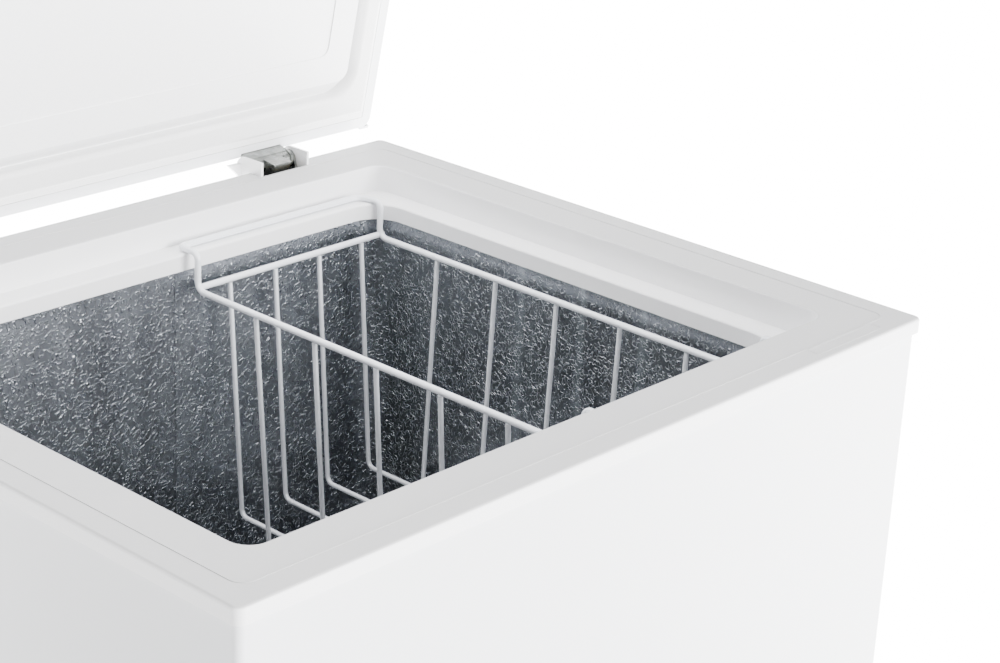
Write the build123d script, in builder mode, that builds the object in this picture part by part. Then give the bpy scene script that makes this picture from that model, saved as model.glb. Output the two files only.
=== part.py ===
"""Chest freezer with a lift-up lid, an aluminium tank and one hanging wire basket.

The origin is on the floor under the middle of the top frame. X runs to the right, Y to the
back and Z up. Lengths are millimetres. The lid pieces are drawn closed, on the cabinet, and
are then swung open about the hinge pins, because the freezer is kept here with its lid open.
"""

from build123d import *
from math import cos, pi, radians, sin
import os

os.makedirs("parts", exist_ok=True)

# ---------------------------------------------------------------- driving dimensions
FRAME_WIDTH = 630.0
FRAME_DEPTH = 542.0
FRAME_TOP = 793.0            # height of the frame's top face above the floor
FRAME_WALL = 3.0
FRAME_SKIRT = 10.7
FRAME_CORNER = 6.0
LAND = 48.5                  # width of the frame's flat top face
RIM_DROP = 22.0              # from the top face down to the basket ledge
LEDGE = 20.0
LIP_DROP = 35.0              # from the top face down to the lip that covers the tank's edge
MOUTH_CORNER = 14.0
LIP_CORNER = 26.0
SEAL_BEAD_INSET = 18.0       # embossed line round the top face

WRAPPER_INSET = 3.0
SHEET = 0.7                  # painted steel sheet
CABINET_BOTTOM = 30.0
PAN_SHEET = 1.2
TANK_SHEET = 0.8
TANK_FLOOR = 95.0
HUMP_LEFT = 60.0             # the step in the tank over the machine bay
HUMP_TOP = 317.0

BAY_LEFT = 115.0
BAY_TOP = 262.0
BAY_SHEET = 0.8

HINGE_X = 193.5              # half the distance between the two hinges
PIN_Y = 276.4
PIN_Z = FRAME_TOP + 1.7
PIN_RADIUS = 4.0
PIN_RUNNING = 0.05
LID_SWING_DEG = 79.4
COVER_HALF = 25.65
POCKET_HALF = 25.9
POCKET_FRONT = 255.8
POCKET_DEPTH = 112.0
CAM_BASE_RADIUS = 7.0        # involute base circle, so also the plunger's offset from the pin
CAM_OPEN_HEIGHT = 7.2
CAM_GAP = 0.3
PLUNGER_HEIGHT = 14.0

LID_GAP = 12.0               # closed: from the frame's top face to the lid's hem
LID_HEIGHT = 45.0
LID_FRONT = -273.0
LID_REAR = 272.0
LID_HEM = 9.5
LID_CORNER = 9.0
GASKET_INNER = 43.0
PANEL_SLOPE = 22.0

BASKET_LEFT = 48.0           # the basket hangs at the right-hand end of the tank
BASKET_RIGHT = 238.0
BASKET_HALF = 191.4          # from the middle to the front and back rim wires
SIDE_RIM_Z = FRAME_TOP - 48.7
CROSS_RIM_Z = FRAME_TOP - 46.7
BASKET_BOTTOM = FRAME_TOP - 241.5
BASKET_TAPER = 15.0          # how far the basket's sides lean in towards its bottom
LONG_WIRE_X = (79.5, 125.5, 171.5, 217.5)
CROSS_WIRE_PITCH = 63.0
FRAME_WIRE = 2.5             # radius
INFILL_WIRE = 1.9            # radius
HANGER_Y = 212.3
HANGER_Z = FRAME_TOP - RIM_DROP + FRAME_WIRE + 0.2

COMPRESSOR_X = 212.0
COMPRESSOR_Y = 160.0

# ---------------------------------------------------------------- derived sizes
HALF_W = FRAME_WIDTH / 2
HALF_D = FRAME_DEPTH / 2
MOUTH_X, MOUTH_Y = HALF_W - LAND, HALF_D - LAND
LIP_X, LIP_Y = MOUTH_X - LEDGE, MOUTH_Y - LEDGE
TANK_X, TANK_Y = LIP_X + FRAME_WALL, LIP_Y + FRAME_WALL
TANK_CORNER = LIP_CORNER + FRAME_WALL
LEDGE_TOP = FRAME_TOP - RIM_DROP
TANK_TOP = LEDGE_TOP - FRAME_WALL
WRAP_X, WRAP_Y = HALF_W - WRAPPER_INSET, HALF_D - WRAPPER_INSET
WRAPPER_TOP = FRAME_TOP - FRAME_WALL
FOAM_X, FOAM_Y = WRAP_X - SHEET, WRAP_Y - SHEET
PAN_TOP = CABINET_BOTTOM + PAN_SHEET
POCKET_BOTTOM = FRAME_TOP - POCKET_DEPTH
LID_HEM_Z = FRAME_TOP + LID_GAP
LID_TOP = LID_HEM_Z + LID_HEIGHT
CAM_TRAVEL = CAM_BASE_RADIUS * radians(LID_SWING_DEG)
CAM_CLOSED_HEIGHT = CAM_OPEN_HEIGHT + CAM_TRAVEL
PLUNGER_TOP = PIN_Z - CAM_OPEN_HEIGHT - CAM_GAP
PLUNGER_Y = PIN_Y - CAM_BASE_RADIUS

LID_OPENED = (
    Location((0, PIN_Y, PIN_Z))
    * Location((0, 0, 0), (-LID_SWING_DEG, 0, 0))
    * Location((0, -PIN_Y, -PIN_Z))
)


def level(height):
    """The horizontal plane at this height above the floor."""
    return Plane.XY.offset(height)


def facing_right(x):
    """A plane across the freezer at x; its own x is the world's Y and its own y the world's Z."""
    return Plane(origin=(x, 0, 0), x_dir=(0, 1, 0), z_dir=(1, 0, 0))


def facing_back(y):
    """A plane along the freezer at y; its own x is the world's -X and its own y the world's Z."""
    return Plane(origin=(0, y, 0), x_dir=(-1, 0, 0), z_dir=(0, 1, 0))


def start_of(path):
    """The plane square to a path at its start, for the section that is swept along it."""
    return Plane(origin=path.wire() @ 0, z_dir=path.wire() % 0)


# ---------------------------------------------------------------- top frame
with BuildPart() as top_frame:
    with BuildSketch(level(FRAME_TOP - FRAME_WALL)):
        RectangleRounded(FRAME_WIDTH, FRAME_DEPTH, FRAME_CORNER)
        RectangleRounded(2 * MOUTH_X, 2 * MOUTH_Y, MOUTH_CORNER, mode=Mode.SUBTRACT)
    extrude(amount=FRAME_WALL)
    with BuildSketch(level(FRAME_TOP - FRAME_SKIRT)):
        RectangleRounded(FRAME_WIDTH, FRAME_DEPTH, FRAME_CORNER)
        Rectangle(2 * WRAP_X, 2 * WRAP_Y, mode=Mode.SUBTRACT)
    extrude(amount=FRAME_SKIRT)
    with BuildSketch(level(LEDGE_TOP - FRAME_WALL)):
        RectangleRounded(2 * (MOUTH_X + FRAME_WALL), 2 * (MOUTH_Y + FRAME_WALL),
                         MOUTH_CORNER + FRAME_WALL)
        RectangleRounded(2 * MOUTH_X, 2 * MOUTH_Y, MOUTH_CORNER, mode=Mode.SUBTRACT)
    extrude(amount=RIM_DROP + FRAME_WALL)
    with BuildSketch(level(LEDGE_TOP - FRAME_WALL)):
        RectangleRounded(2 * MOUTH_X, 2 * MOUTH_Y, MOUTH_CORNER)
        RectangleRounded(2 * LIP_X, 2 * LIP_Y, LIP_CORNER, mode=Mode.SUBTRACT)
    extrude(amount=FRAME_WALL)
    with BuildSketch(level(FRAME_TOP - LIP_DROP)):
        RectangleRounded(2 * TANK_X, 2 * TANK_Y, TANK_CORNER)
        RectangleRounded(2 * LIP_X, 2 * LIP_Y, LIP_CORNER, mode=Mode.SUBTRACT)
    extrude(amount=LIP_DROP - RIM_DROP)
    # the rounded outer and inner edges of the top face, and the ledge's front edge
    fillet(top_frame.faces().sort_by(Axis.Z)[-1].outer_wire().edges(), radius=2.4)
    fillet(top_frame.faces().sort_by(Axis.Z)[-1].inner_wires()[0].edges(), radius=1.6)
    ledge_face = top_frame.faces().filter_by(
        lambda face: abs(face.center().Z - LEDGE_TOP) < 0.01 and face.normal_at().Z > 0.9
    )[0]
    fillet(ledge_face.inner_wires()[0].edges(), radius=1.8)
    # the embossed seal line, and the outlined pad for the lid's latch at the front right
    with BuildSketch(level(FRAME_TOP - 0.3)):
        RectangleRounded(FRAME_WIDTH - 2 * SEAL_BEAD_INSET, FRAME_DEPTH - 2 * SEAL_BEAD_INSET, 10)
        offset(amount=-1.3, kind=Kind.ARC, mode=Mode.SUBTRACT)
    extrude(amount=0.7)
    with BuildSketch(level(FRAME_TOP - 0.3)):
        with Locations((238.5, -HALF_D + 12.4)):
            RectangleRounded(75, 10.6, 2)
            RectangleRounded(73, 8.6, 1.2, mode=Mode.SUBTRACT)
    extrude(amount=0.55)
    # notches in the rear edge for the two hinges
    with BuildSketch(level(FRAME_TOP - FRAME_SKIRT - 1)):
        for side in (-1, 1):
            with Locations((side * HINGE_X, POCKET_FRONT + 15)):
                Rectangle(2 * POCKET_HALF, 30)
    extrude(amount=FRAME_SKIRT + 5, mode=Mode.SUBTRACT)
top_frame.part.label = "top_frame"
export_step(top_frame.part, "parts/top_frame.step")

# ---------------------------------------------------------------- cabinet sheet metal
PANEL_X, PANEL_Z = 222.0, 176.0          # middle of the control panel on the front
PANEL_W, PANEL_H = 136.0, 62.0
GRILLE_Y, GRILLE_Z = 110.0, 150.0        # middle of the machine bay's grille on the right
GRILLE_W, GRILLE_H = 176.0, 150.0
DRAIN_X, DRAIN_Y, DRAIN_Z = -215.0, -165.0, 62.0
GLAND_X, GLAND_Z = 284.0, 62.0
COVER_SCREWS = [(x, z) for x in (118, 213, 308) for z in (34.4, 258.4)]

with BuildPart() as cabinet_wrapper:
    with BuildSketch(level(CABINET_BOTTOM)) as outer_plan:
        Rectangle(2 * WRAP_X, 2 * WRAP_Y)
        fillet(outer_plan.vertices().group_by(Axis.Y)[0], radius=5)
    extrude(amount=WRAPPER_TOP - CABINET_BOTTOM)
    with BuildSketch(level(CABINET_BOTTOM)) as inner_plan:
        with Locations((0, SHEET)):
            Rectangle(2 * FOAM_X, 2 * WRAP_Y)
        fillet(inner_plan.vertices().group_by(Axis.Y)[0], radius=4.3)
    extrude(amount=WRAPPER_TOP - CABINET_BOTTOM, mode=Mode.SUBTRACT)
    with BuildSketch(facing_back(-WRAP_Y - 5)):
        with Locations((-PANEL_X, PANEL_Z)):
            Rectangle(PANEL_W - 8, PANEL_H - 8)
        with Locations((-DRAIN_X, DRAIN_Z)):
            Circle(9)
    extrude(amount=10, mode=Mode.SUBTRACT)
    with BuildSketch(facing_right(WRAP_X - 5)):
        with Locations((GRILLE_Y, GRILLE_Z)):
            Rectangle(GRILLE_W - 10, GRILLE_H - 10)
    extrude(amount=10, mode=Mode.SUBTRACT)
cabinet_wrapper.part.label = "cabinet_wrapper"
export_step(cabinet_wrapper.part, "parts/cabinet_wrapper.step")

with BuildPart() as back_panel:
    with BuildSketch(facing_back(FOAM_Y)):
        with Locations((0, (CABINET_BOTTOM + WRAPPER_TOP) / 2)):
            Rectangle(2 * FOAM_X, WRAPPER_TOP - CABINET_BOTTOM)
        for side in (-1, 1):
            with Locations((side * HINGE_X, WRAPPER_TOP)):
                Rectangle(2 * POCKET_HALF, 2 * (WRAPPER_TOP - POCKET_BOTTOM), mode=Mode.SUBTRACT)
        with Locations((-(BAY_LEFT + FOAM_X) / 2, (PAN_TOP + BAY_TOP) / 2)):
            Rectangle(FOAM_X - BAY_LEFT - 12, BAY_TOP - PAN_TOP - 12, mode=Mode.SUBTRACT)
        for screw_x, screw_z in COVER_SCREWS:
            with Locations((-screw_x, screw_z)):
                Circle(1.85, mode=Mode.SUBTRACT)
    extrude(amount=SHEET)
back_panel.part.label = "back_panel"
export_step(back_panel.part, "parts/back_panel.step")

with BuildPart() as base_pan:
    with BuildSketch(level(CABINET_BOTTOM)) as pan_plan:
        Rectangle(2 * FOAM_X, 2 * FOAM_Y)
        fillet(pan_plan.vertices().group_by(Axis.Y)[0], radius=4.3)
        with Locations((COMPRESSOR_X, -120)):
            with GridLocations(0, 16, 1, 6):
                SlotOverall(120, 6, mode=Mode.SUBTRACT)
    extrude(amount=PAN_SHEET)
base_pan.part.label = "base_pan"
export_step(base_pan.part, "parts/base_pan.step")

# ---------------------------------------------------------------- tubes of the cold circuit
EVAPORATOR_TUBE = 4.0        # radius
CONDENSER_TUBE = 2.5         # radius
EVAPORATOR_LOW, EVAPORATOR_PITCH, EVAPORATOR_TURNS = 360.0, 55.0, 7
CONDENSER_LOW, CONDENSER_PITCH, CONDENSER_TURNS = 300.0, 60.0, 7
EVAP_X = TANK_X + TANK_SHEET + EVAPORATOR_TUBE + 0.1
EVAP_Y = TANK_Y + TANK_SHEET + EVAPORATOR_TUBE + 0.1
COND_X, COND_Y = FOAM_X - CONDENSER_TUBE - 0.1, FOAM_Y - CONDENSER_TUBE - 0.1
EVAPORATOR_END_Z = EVAPORATOR_LOW + EVAPORATOR_PITCH * (EVAPORATOR_TURNS - 1)
CONDENSER_END_Z = CONDENSER_LOW + CONDENSER_PITCH * (CONDENSER_TURNS - 1)
SUCTION_Y, CAPILLARY_Y, RISER_Y = 190.0, 232.0, 248.0
DRIER_X, DRIER_Y = 132.0, 222.0
DRIER_BOTTOM, DRIER_TOP = 118.0, 208.0


def wound_route(half_x, half_y, low, pitch, turns):
    """Corner points of a tube wound round a box: level on three sides, rising along the back."""
    route = []
    for turn in range(turns):
        height = low + turn * pitch
        route += [(half_x, -half_y, height), (-half_x, -half_y, height), (-half_x, half_y, height)]
        if turn < turns - 1:
            route.append((half_x, half_y, height + pitch))
    return route


with BuildPart() as evaporator_tube:
    with BuildLine() as evaporator_path:
        FilletPolyline(
            (EVAP_X, SUCTION_Y, EVAPORATOR_LOW),
            *wound_route(EVAP_X, EVAP_Y, EVAPORATOR_LOW, EVAPORATOR_PITCH, EVAPORATOR_TURNS),
            (60, EVAP_Y, EVAPORATOR_END_Z),
            radius=TANK_CORNER + TANK_SHEET + EVAPORATOR_TUBE,
        )
    with BuildSketch(start_of(evaporator_path)):
        Circle(EVAPORATOR_TUBE)
    sweep()
evaporator_tube.part.label = "evaporator_tube"
export_step(evaporator_tube.part, "parts/evaporator_tube.step")

with BuildPart() as condenser_tube:
    with BuildLine() as condenser_path:
        FilletPolyline(
            (DRIER_X, DRIER_Y, DRIER_TOP),
            (DRIER_X, DRIER_Y, 288),
            (DRIER_X, COND_Y, 288),
            (COND_X, COND_Y, CONDENSER_LOW),
            *wound_route(COND_X, COND_Y, CONDENSER_LOW, CONDENSER_PITCH, CONDENSER_TURNS),
            (60, COND_Y, CONDENSER_END_Z),
            radius=16,
        )
    with BuildSketch(start_of(condenser_path)):
        Circle(CONDENSER_TUBE)
    sweep()
condenser_tube.part.label = "condenser_tube"
export_step(condenser_tube.part, "parts/condenser_tube.step")

DISCHARGE_Z = 178.0
COMPRESSOR_BACK = COMPRESSOR_Y + 87.5
with BuildPart() as discharge_line:
    with BuildLine() as discharge_path:
        FilletPolyline(
            (60, COND_Y, CONDENSER_END_Z),
            (134, COND_Y, CONDENSER_END_Z),
            (150, RISER_Y, CONDENSER_END_Z - 30),
            (150, RISER_Y, 250),
            (176, RISER_Y + 6, 205),
            (COMPRESSOR_X, RISER_Y + 12, DISCHARGE_Z - 20),
            (COMPRESSOR_X, COMPRESSOR_BACK, DISCHARGE_Z - 20),
            radius=[8, 8, 14, 14, 5],
        )
    with BuildSketch(start_of(discharge_path)):
        Circle(CONDENSER_TUBE)
    sweep()
discharge_line.part.label = "discharge_line"
export_step(discharge_line.part, "parts/discharge_line.step")

with BuildPart() as suction_line:
    with BuildLine() as suction_path:
        FilletPolyline(
            (EVAP_X, SUCTION_Y, EVAPORATOR_LOW),
            (EVAP_X, CAPILLARY_Y + 8, EVAPORATOR_LOW),
            (EVAP_X, CAPILLARY_Y + 8, 236),
            (292, 224, 200),
            (298, 190, 150),
            (298, COMPRESSOR_Y, 112),
            (COMPRESSOR_X + 75, COMPRESSOR_Y, 112),
            radius=[18, 20, 20, 16, 5],
        )
    with BuildSketch(start_of(suction_path)):
        Circle(EVAPORATOR_TUBE)
    sweep()
suction_line.part.label = "suction_line"
export_step(suction_line.part, "parts/suction_line.step")

with BuildPart() as capillary_tube:
    with BuildLine() as capillary_path:
        FilletPolyline(
            (DRIER_X, DRIER_Y, DRIER_BOTTOM),
            (DRIER_X, DRIER_Y, 84),
            (DRIER_X, CAPILLARY_Y + 10, 84),
            (DRIER_X, CAPILLARY_Y + 10, 230),
            (DRIER_X - 12, CAPILLARY_Y, 300),
            (DRIER_X - 12, CAPILLARY_Y, EVAPORATOR_END_Z),
            (DRIER_X - 12, EVAP_Y, EVAPORATOR_END_Z),
            (60, EVAP_Y, EVAPORATOR_END_Z),
            radius=[9, 9, 30, 30, 8, 8],
        )
    with BuildSketch(start_of(capillary_path)):
        Circle(1.2)
    sweep()
capillary_tube.part.label = "capillary_tube"
export_step(capillary_tube.part, "parts/capillary_tube.step")

with BuildPart() as filter_drier:
    with BuildSketch(Plane(origin=(DRIER_X, DRIER_Y, 0), x_dir=(1, 0, 0), z_dir=(0, -1, 0))):
        with BuildLine():
            Polyline((0, DRIER_BOTTOM), (3.2, DRIER_BOTTOM), (3.2, DRIER_BOTTOM + 8),
                     (9, DRIER_BOTTOM + 18), (9, DRIER_TOP - 18), (3.6, DRIER_TOP - 8),
                     (3.6, DRIER_TOP), (0, DRIER_TOP), close=True)
        make_face()
    revolve(axis=Axis((DRIER_X, DRIER_Y, 0), (0, 0, 1)))
filter_drier.part.label = "filter_drier"
export_step(filter_drier.part, "parts/filter_drier.step")

# ---------------------------------------------------------------- drain
DRAIN_TUBE, DRAIN_BORE = 9.0, 7.0        # outer and inner radius
with BuildPart() as drain_route:
    with BuildLine() as drain_path:
        FilletPolyline(
            (DRAIN_X, DRAIN_Y, TANK_FLOOR - TANK_SHEET),
            (DRAIN_X, DRAIN_Y, DRAIN_Z),
            (DRAIN_X, -WRAP_Y, DRAIN_Z),
            radius=18,
        )
    with BuildSketch(start_of(drain_path)):
        Circle(DRAIN_TUBE)
    sweep()

with BuildPart() as drain_tube:
    add(drain_route.part)
    with BuildLine() as drain_bore_path:
        add(drain_path.line)
    with BuildSketch(start_of(drain_bore_path)):
        Circle(DRAIN_BORE)
    sweep(mode=Mode.SUBTRACT)
drain_tube.part.label = "drain_tube"
export_step(drain_tube.part, "parts/drain_tube.step")

SPOUT_RADIUS, SPOUT_LENGTH = 9.5, 13.0
with BuildPart() as drain_outlet:
    with BuildSketch(facing_back(-WRAP_Y)):
        with Locations((-DRAIN_X, DRAIN_Z)):
            Circle(18)
            Circle(DRAIN_BORE, mode=Mode.SUBTRACT)
    extrude(amount=-3)
    fillet(drain_outlet.edges().group_by(Axis.Y)[0].sort_by(SortBy.LENGTH)[-1], radius=1.2)
    with BuildSketch(facing_back(-WRAP_Y - 3)):
        with Locations((-DRAIN_X, DRAIN_Z)):
            Circle(SPOUT_RADIUS)
            Circle(DRAIN_BORE, mode=Mode.SUBTRACT)
    extrude(amount=-SPOUT_LENGTH)
drain_outlet.part.label = "drain_outlet"
export_step(drain_outlet.part, "parts/drain_outlet.step")

with BuildPart() as drain_cap:
    with BuildSketch(facing_back(-WRAP_Y - 3.3)):
        with Locations((-DRAIN_X, DRAIN_Z)):
            Circle(14)
            with PolarLocations(14.6, 18):
                Circle(1.6, mode=Mode.SUBTRACT)
    extrude(amount=-17)
    with BuildSketch(facing_back(-WRAP_Y - 3.3)):
        with Locations((-DRAIN_X, DRAIN_Z)):
            Circle(SPOUT_RADIUS + 0.3)
    extrude(amount=-SPOUT_LENGTH, mode=Mode.SUBTRACT)
drain_cap.part.label = "drain_cap"
export_step(drain_cap.part, "parts/drain_cap.step")

with BuildPart() as drain_plug:
    with BuildSketch(level(TANK_FLOOR - 10)):
        with Locations((DRAIN_X, DRAIN_Y)):
            Circle(DRAIN_BORE - 0.4)
    extrude(amount=10.3)
    with BuildSketch(level(TANK_FLOOR + 0.3)):
        with Locations((DRAIN_X, DRAIN_Y)):
            Circle(14)
    extrude(amount=3)
    fillet(drain_plug.edges().group_by(Axis.Z)[-1], radius=1.2)
    with BuildSketch(facing_back(DRAIN_Y - 1.5)):
        with Locations((-DRAIN_X, TANK_FLOOR + 8)):
            SlotOverall(16, 14)
            SlotOverall(9, 7, mode=Mode.SUBTRACT)
    extrude(amount=3)
drain_plug.part.label = "drain_plug"
export_step(drain_plug.part, "parts/drain_plug.step")

# ---------------------------------------------------------------- tank
with BuildPart() as tank_liner:
    with BuildSketch(level(TANK_FLOOR - TANK_SHEET)):
        RectangleRounded(2 * (TANK_X + TANK_SHEET), 2 * (TANK_Y + TANK_SHEET),
                         TANK_CORNER + TANK_SHEET)
    extrude(amount=TANK_TOP - TANK_FLOOR + TANK_SHEET)
    with BuildSketch(level(TANK_FLOOR - TANK_SHEET)):
        with Locations((HUMP_LEFT + TANK_SHEET + 150, 0)):
            Rectangle(300, FRAME_DEPTH)
    extrude(amount=HUMP_TOP - TANK_FLOOR, mode=Mode.SUBTRACT)
    with BuildSketch(level(HUMP_TOP)):
        RectangleRounded(2 * TANK_X, 2 * TANK_Y, TANK_CORNER)
    extrude(amount=TANK_TOP - HUMP_TOP, mode=Mode.SUBTRACT)
    with BuildSketch(level(TANK_FLOOR)):
        RectangleRounded(2 * TANK_X, 2 * TANK_Y, TANK_CORNER)
        with Locations((HUMP_LEFT + 150, 0)):
            Rectangle(300, FRAME_DEPTH, mode=Mode.SUBTRACT)
    extrude(amount=HUMP_TOP - TANK_FLOOR, mode=Mode.SUBTRACT)
    # the upright lap seam in the back wall
    with BuildSketch(level(TANK_FLOOR)):
        with Locations((44, TANK_Y - 0.3)):
            Rectangle(14, 0.6)
    extrude(amount=FRAME_TOP - LIP_DROP - TANK_FLOOR)
    with BuildSketch(level(TANK_FLOOR - 5)):
        with Locations((DRAIN_X, DRAIN_Y)):
            Circle(DRAIN_BORE)
    extrude(amount=10, mode=Mode.SUBTRACT)
tank_liner.part.label = "tank_liner"
export_step(tank_liner.part, "parts/tank_liner.step")

# ---------------------------------------------------------------- control panel on the front
KNOB_X, KNOB_Z = 190.0, 176.0
LAMP_XS = (245.0, 258.0, 271.0)
SHAFT_RADIUS = 3.0
with BuildPart() as control_panel:
    with BuildSketch(facing_back(-WRAP_Y)):
        with Locations((-PANEL_X, PANEL_Z)):
            RectangleRounded(PANEL_W, PANEL_H, 8)
    extrude(amount=-4)
    fillet(control_panel.faces().sort_by(Axis.Y)[0].edges(), radius=1.5)
    with BuildSketch(facing_back(-WRAP_Y)):
        with Locations((-PANEL_X, PANEL_Z)):
            Rectangle(PANEL_W - 9, PANEL_H - 9)
            Rectangle(PANEL_W - 13, PANEL_H - 13, mode=Mode.SUBTRACT)
    extrude(amount=22)
    with BuildSketch(facing_back(-WRAP_Y - 5)):
        with Locations((-KNOB_X, KNOB_Z)):
            Circle(SHAFT_RADIUS + 0.2)
        with Locations([(-x, PANEL_Z) for x in LAMP_XS]):
            Circle(3.1)
    extrude(amount=6, mode=Mode.SUBTRACT)
    # a ring of setting marks round the knob
    with BuildSketch(facing_back(-WRAP_Y - 4)):
        with Locations((-KNOB_X, KNOB_Z)):
            with PolarLocations(24.5, 7, start_angle=-60, angular_range=300):
                Rectangle(3, 1)
    extrude(amount=-0.3)
control_panel.part.label = "control_panel"
export_step(control_panel.part, "parts/control_panel.step")

with BuildPart() as thermostat:
    with BuildSketch(facing_back(-WRAP_Y)):
        with Locations((-KNOB_X, KNOB_Z)):
            RectangleRounded(34, 34, 3)
    extrude(amount=26)
    with BuildSketch(facing_back(-WRAP_Y)):
        with Locations((-KNOB_X, KNOB_Z)):
            Circle(SHAFT_RADIUS)
    extrude(amount=-16)
thermostat.part.label = "thermostat"
export_step(thermostat.part, "parts/thermostat.step")

KNOB_BACK = -WRAP_Y - 4.5
with BuildPart() as thermostat_knob:
    with BuildSketch(facing_back(KNOB_BACK)):
        with Locations((-KNOB_X, KNOB_Z)):
            Circle(20)
    extrude(amount=-4)
    with BuildSketch(facing_back(KNOB_BACK - 4)):
        with Locations((-KNOB_X, KNOB_Z)):
            Circle(17)
            with PolarLocations(18, 24):
                Circle(1.7, mode=Mode.SUBTRACT)
    extrude(amount=-9)
    with BuildSketch(facing_back(KNOB_BACK - 13)):
        with Locations((-KNOB_X, KNOB_Z)):
            SlotOverall(30, 7, rotation=90)
    extrude(amount=-3)
    with BuildSketch(facing_back(KNOB_BACK)):
        with Locations((-KNOB_X, KNOB_Z)):
            Circle(SHAFT_RADIUS + 0.05)
    extrude(amount=-12, mode=Mode.SUBTRACT)
    # pointer groove
    with BuildSketch(facing_back(KNOB_BACK - 15.4)):
        with Locations((-KNOB_X, KNOB_Z + 9)):
            Rectangle(1.6, 9)
    extrude(amount=-1, mode=Mode.SUBTRACT)
thermostat_knob.part.label = "thermostat_knob"
export_step(thermostat_knob.part, "parts/thermostat_knob.step")

with BuildPart() as indicator_lamps:
    for lamp_x in LAMP_XS:
        with BuildSketch(facing_back(-WRAP_Y + 4)):
            with Locations((-lamp_x, PANEL_Z)):
                Circle(4.4)
        extrude(amount=-4)
        with BuildSketch(facing_back(-WRAP_Y)):
            with Locations((-lamp_x, PANEL_Z)):
                Circle(3)
        extrude(amount=-5)
    fillet(indicator_lamps.edges().group_by(Axis.Y)[0], radius=0.9)
indicator_lamps.part.label = "indicator_lamps"
export_step(indicator_lamps.part, "parts/indicator_lamps.step")

with BuildPart() as thermostat_probe:
    with BuildLine() as probe_path:
        FilletPolyline(
            (KNOB_X, -WRAP_Y + 26, KNOB_Z),
            (KNOB_X, -225, KNOB_Z),
            (KNOB_X, -225, HUMP_TOP - 4),
            (KNOB_X, -60, HUMP_TOP - 4),
            radius=8,
        )
    with BuildSketch(start_of(probe_path)):
        Circle(1.4)
    sweep()
thermostat_probe.part.label = "thermostat_probe"
export_step(thermostat_probe.part, "parts/thermostat_probe.step")

# ---------------------------------------------------------------- machine bay
CEILING_HOLES = ((DRIER_X, DRIER_Y, 3.5), (126.6, 237.5, 3.5), (150, RISER_Y, 3.5),
                 (EVAP_X, CAPILLARY_Y + 8, 5), (KNOB_X, -225, 2.5))
with BuildPart() as bay_partition:
    with BuildSketch(level(PAN_TOP)):
        with Locations((BAY_LEFT + BAY_SHEET / 2, 0)):
            Rectangle(BAY_SHEET, 2 * FOAM_Y)
    extrude(amount=BAY_TOP - PAN_TOP)
    with BuildSketch(level(BAY_TOP - BAY_SHEET)):
        with Locations(((BAY_LEFT + FOAM_X) / 2, 0)):
            Rectangle(FOAM_X - BAY_LEFT, 2 * FOAM_Y)
        for hole_x, hole_y, hole_radius in CEILING_HOLES:
            with Locations((hole_x, hole_y)):
                Circle(hole_radius, mode=Mode.SUBTRACT)
    extrude(amount=BAY_SHEET)
    # the front corner is cut back to clear the wrapper's rounded corner
    with BuildSketch(level(PAN_TOP)):
        with Locations((FOAM_X, -FOAM_Y)):
            Rectangle(10, 10)
    extrude(amount=BAY_TOP - PAN_TOP, mode=Mode.SUBTRACT)
bay_partition.part.label = "bay_partition"
export_step(bay_partition.part, "parts/bay_partition.step")

MOUNT_POINTS = GridLocations(110, 176, 2, 2).local_locations
SHELL_BOTTOM, SHELL_SPLIT, SHELL_TOP = 51.5, 125.0, 205.0
SHELL_X, SHELL_Y, SHELL_CORNER, SHELL_WALL = 140.0, 165.0, 50.0, 3.2
with BuildPart() as compressor_lower_shell:
    with BuildSketch(level(SHELL_BOTTOM)):
        with Locations((COMPRESSOR_X, COMPRESSOR_Y)):
            RectangleRounded(SHELL_X, SHELL_Y, SHELL_CORNER)
    extrude(amount=SHELL_SPLIT - SHELL_BOTTOM)
    fillet(compressor_lower_shell.faces().sort_by(Axis.Z)[0].edges(), radius=20)
    with BuildSketch(level(SHELL_SPLIT - 4)):
        with Locations((COMPRESSOR_X, COMPRESSOR_Y)):
            RectangleRounded(SHELL_X + 6, SHELL_Y + 6, SHELL_CORNER + 3)
    extrude(amount=4)
    with BuildSketch(level(SHELL_BOTTOM + 22)):
        with Locations((COMPRESSOR_X, COMPRESSOR_Y)):
            RectangleRounded(SHELL_X - 2 * SHELL_WALL, SHELL_Y - 2 * SHELL_WALL,
                             SHELL_CORNER - SHELL_WALL)
    extrude(amount=60, mode=Mode.SUBTRACT)
    with BuildSketch(level(SHELL_BOTTOM + SHELL_WALL)):
        with Locations((COMPRESSOR_X, COMPRESSOR_Y)):
            RectangleRounded(SHELL_X - 34, SHELL_Y - 34, SHELL_CORNER - 17)
    extrude(amount=30, mode=Mode.SUBTRACT)
    # the suction stub on the right
    with BuildSketch(facing_right(COMPRESSOR_X + SHELL_X / 2 - 1)):
        with Locations((COMPRESSOR_Y, 112)):
            Circle(EVAPORATOR_TUBE + 1.5)
    extrude(amount=6)
compressor_lower_shell.part.label = "compressor_lower_shell"
export_step(compressor_lower_shell.part, "parts/compressor_lower_shell.step")

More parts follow.
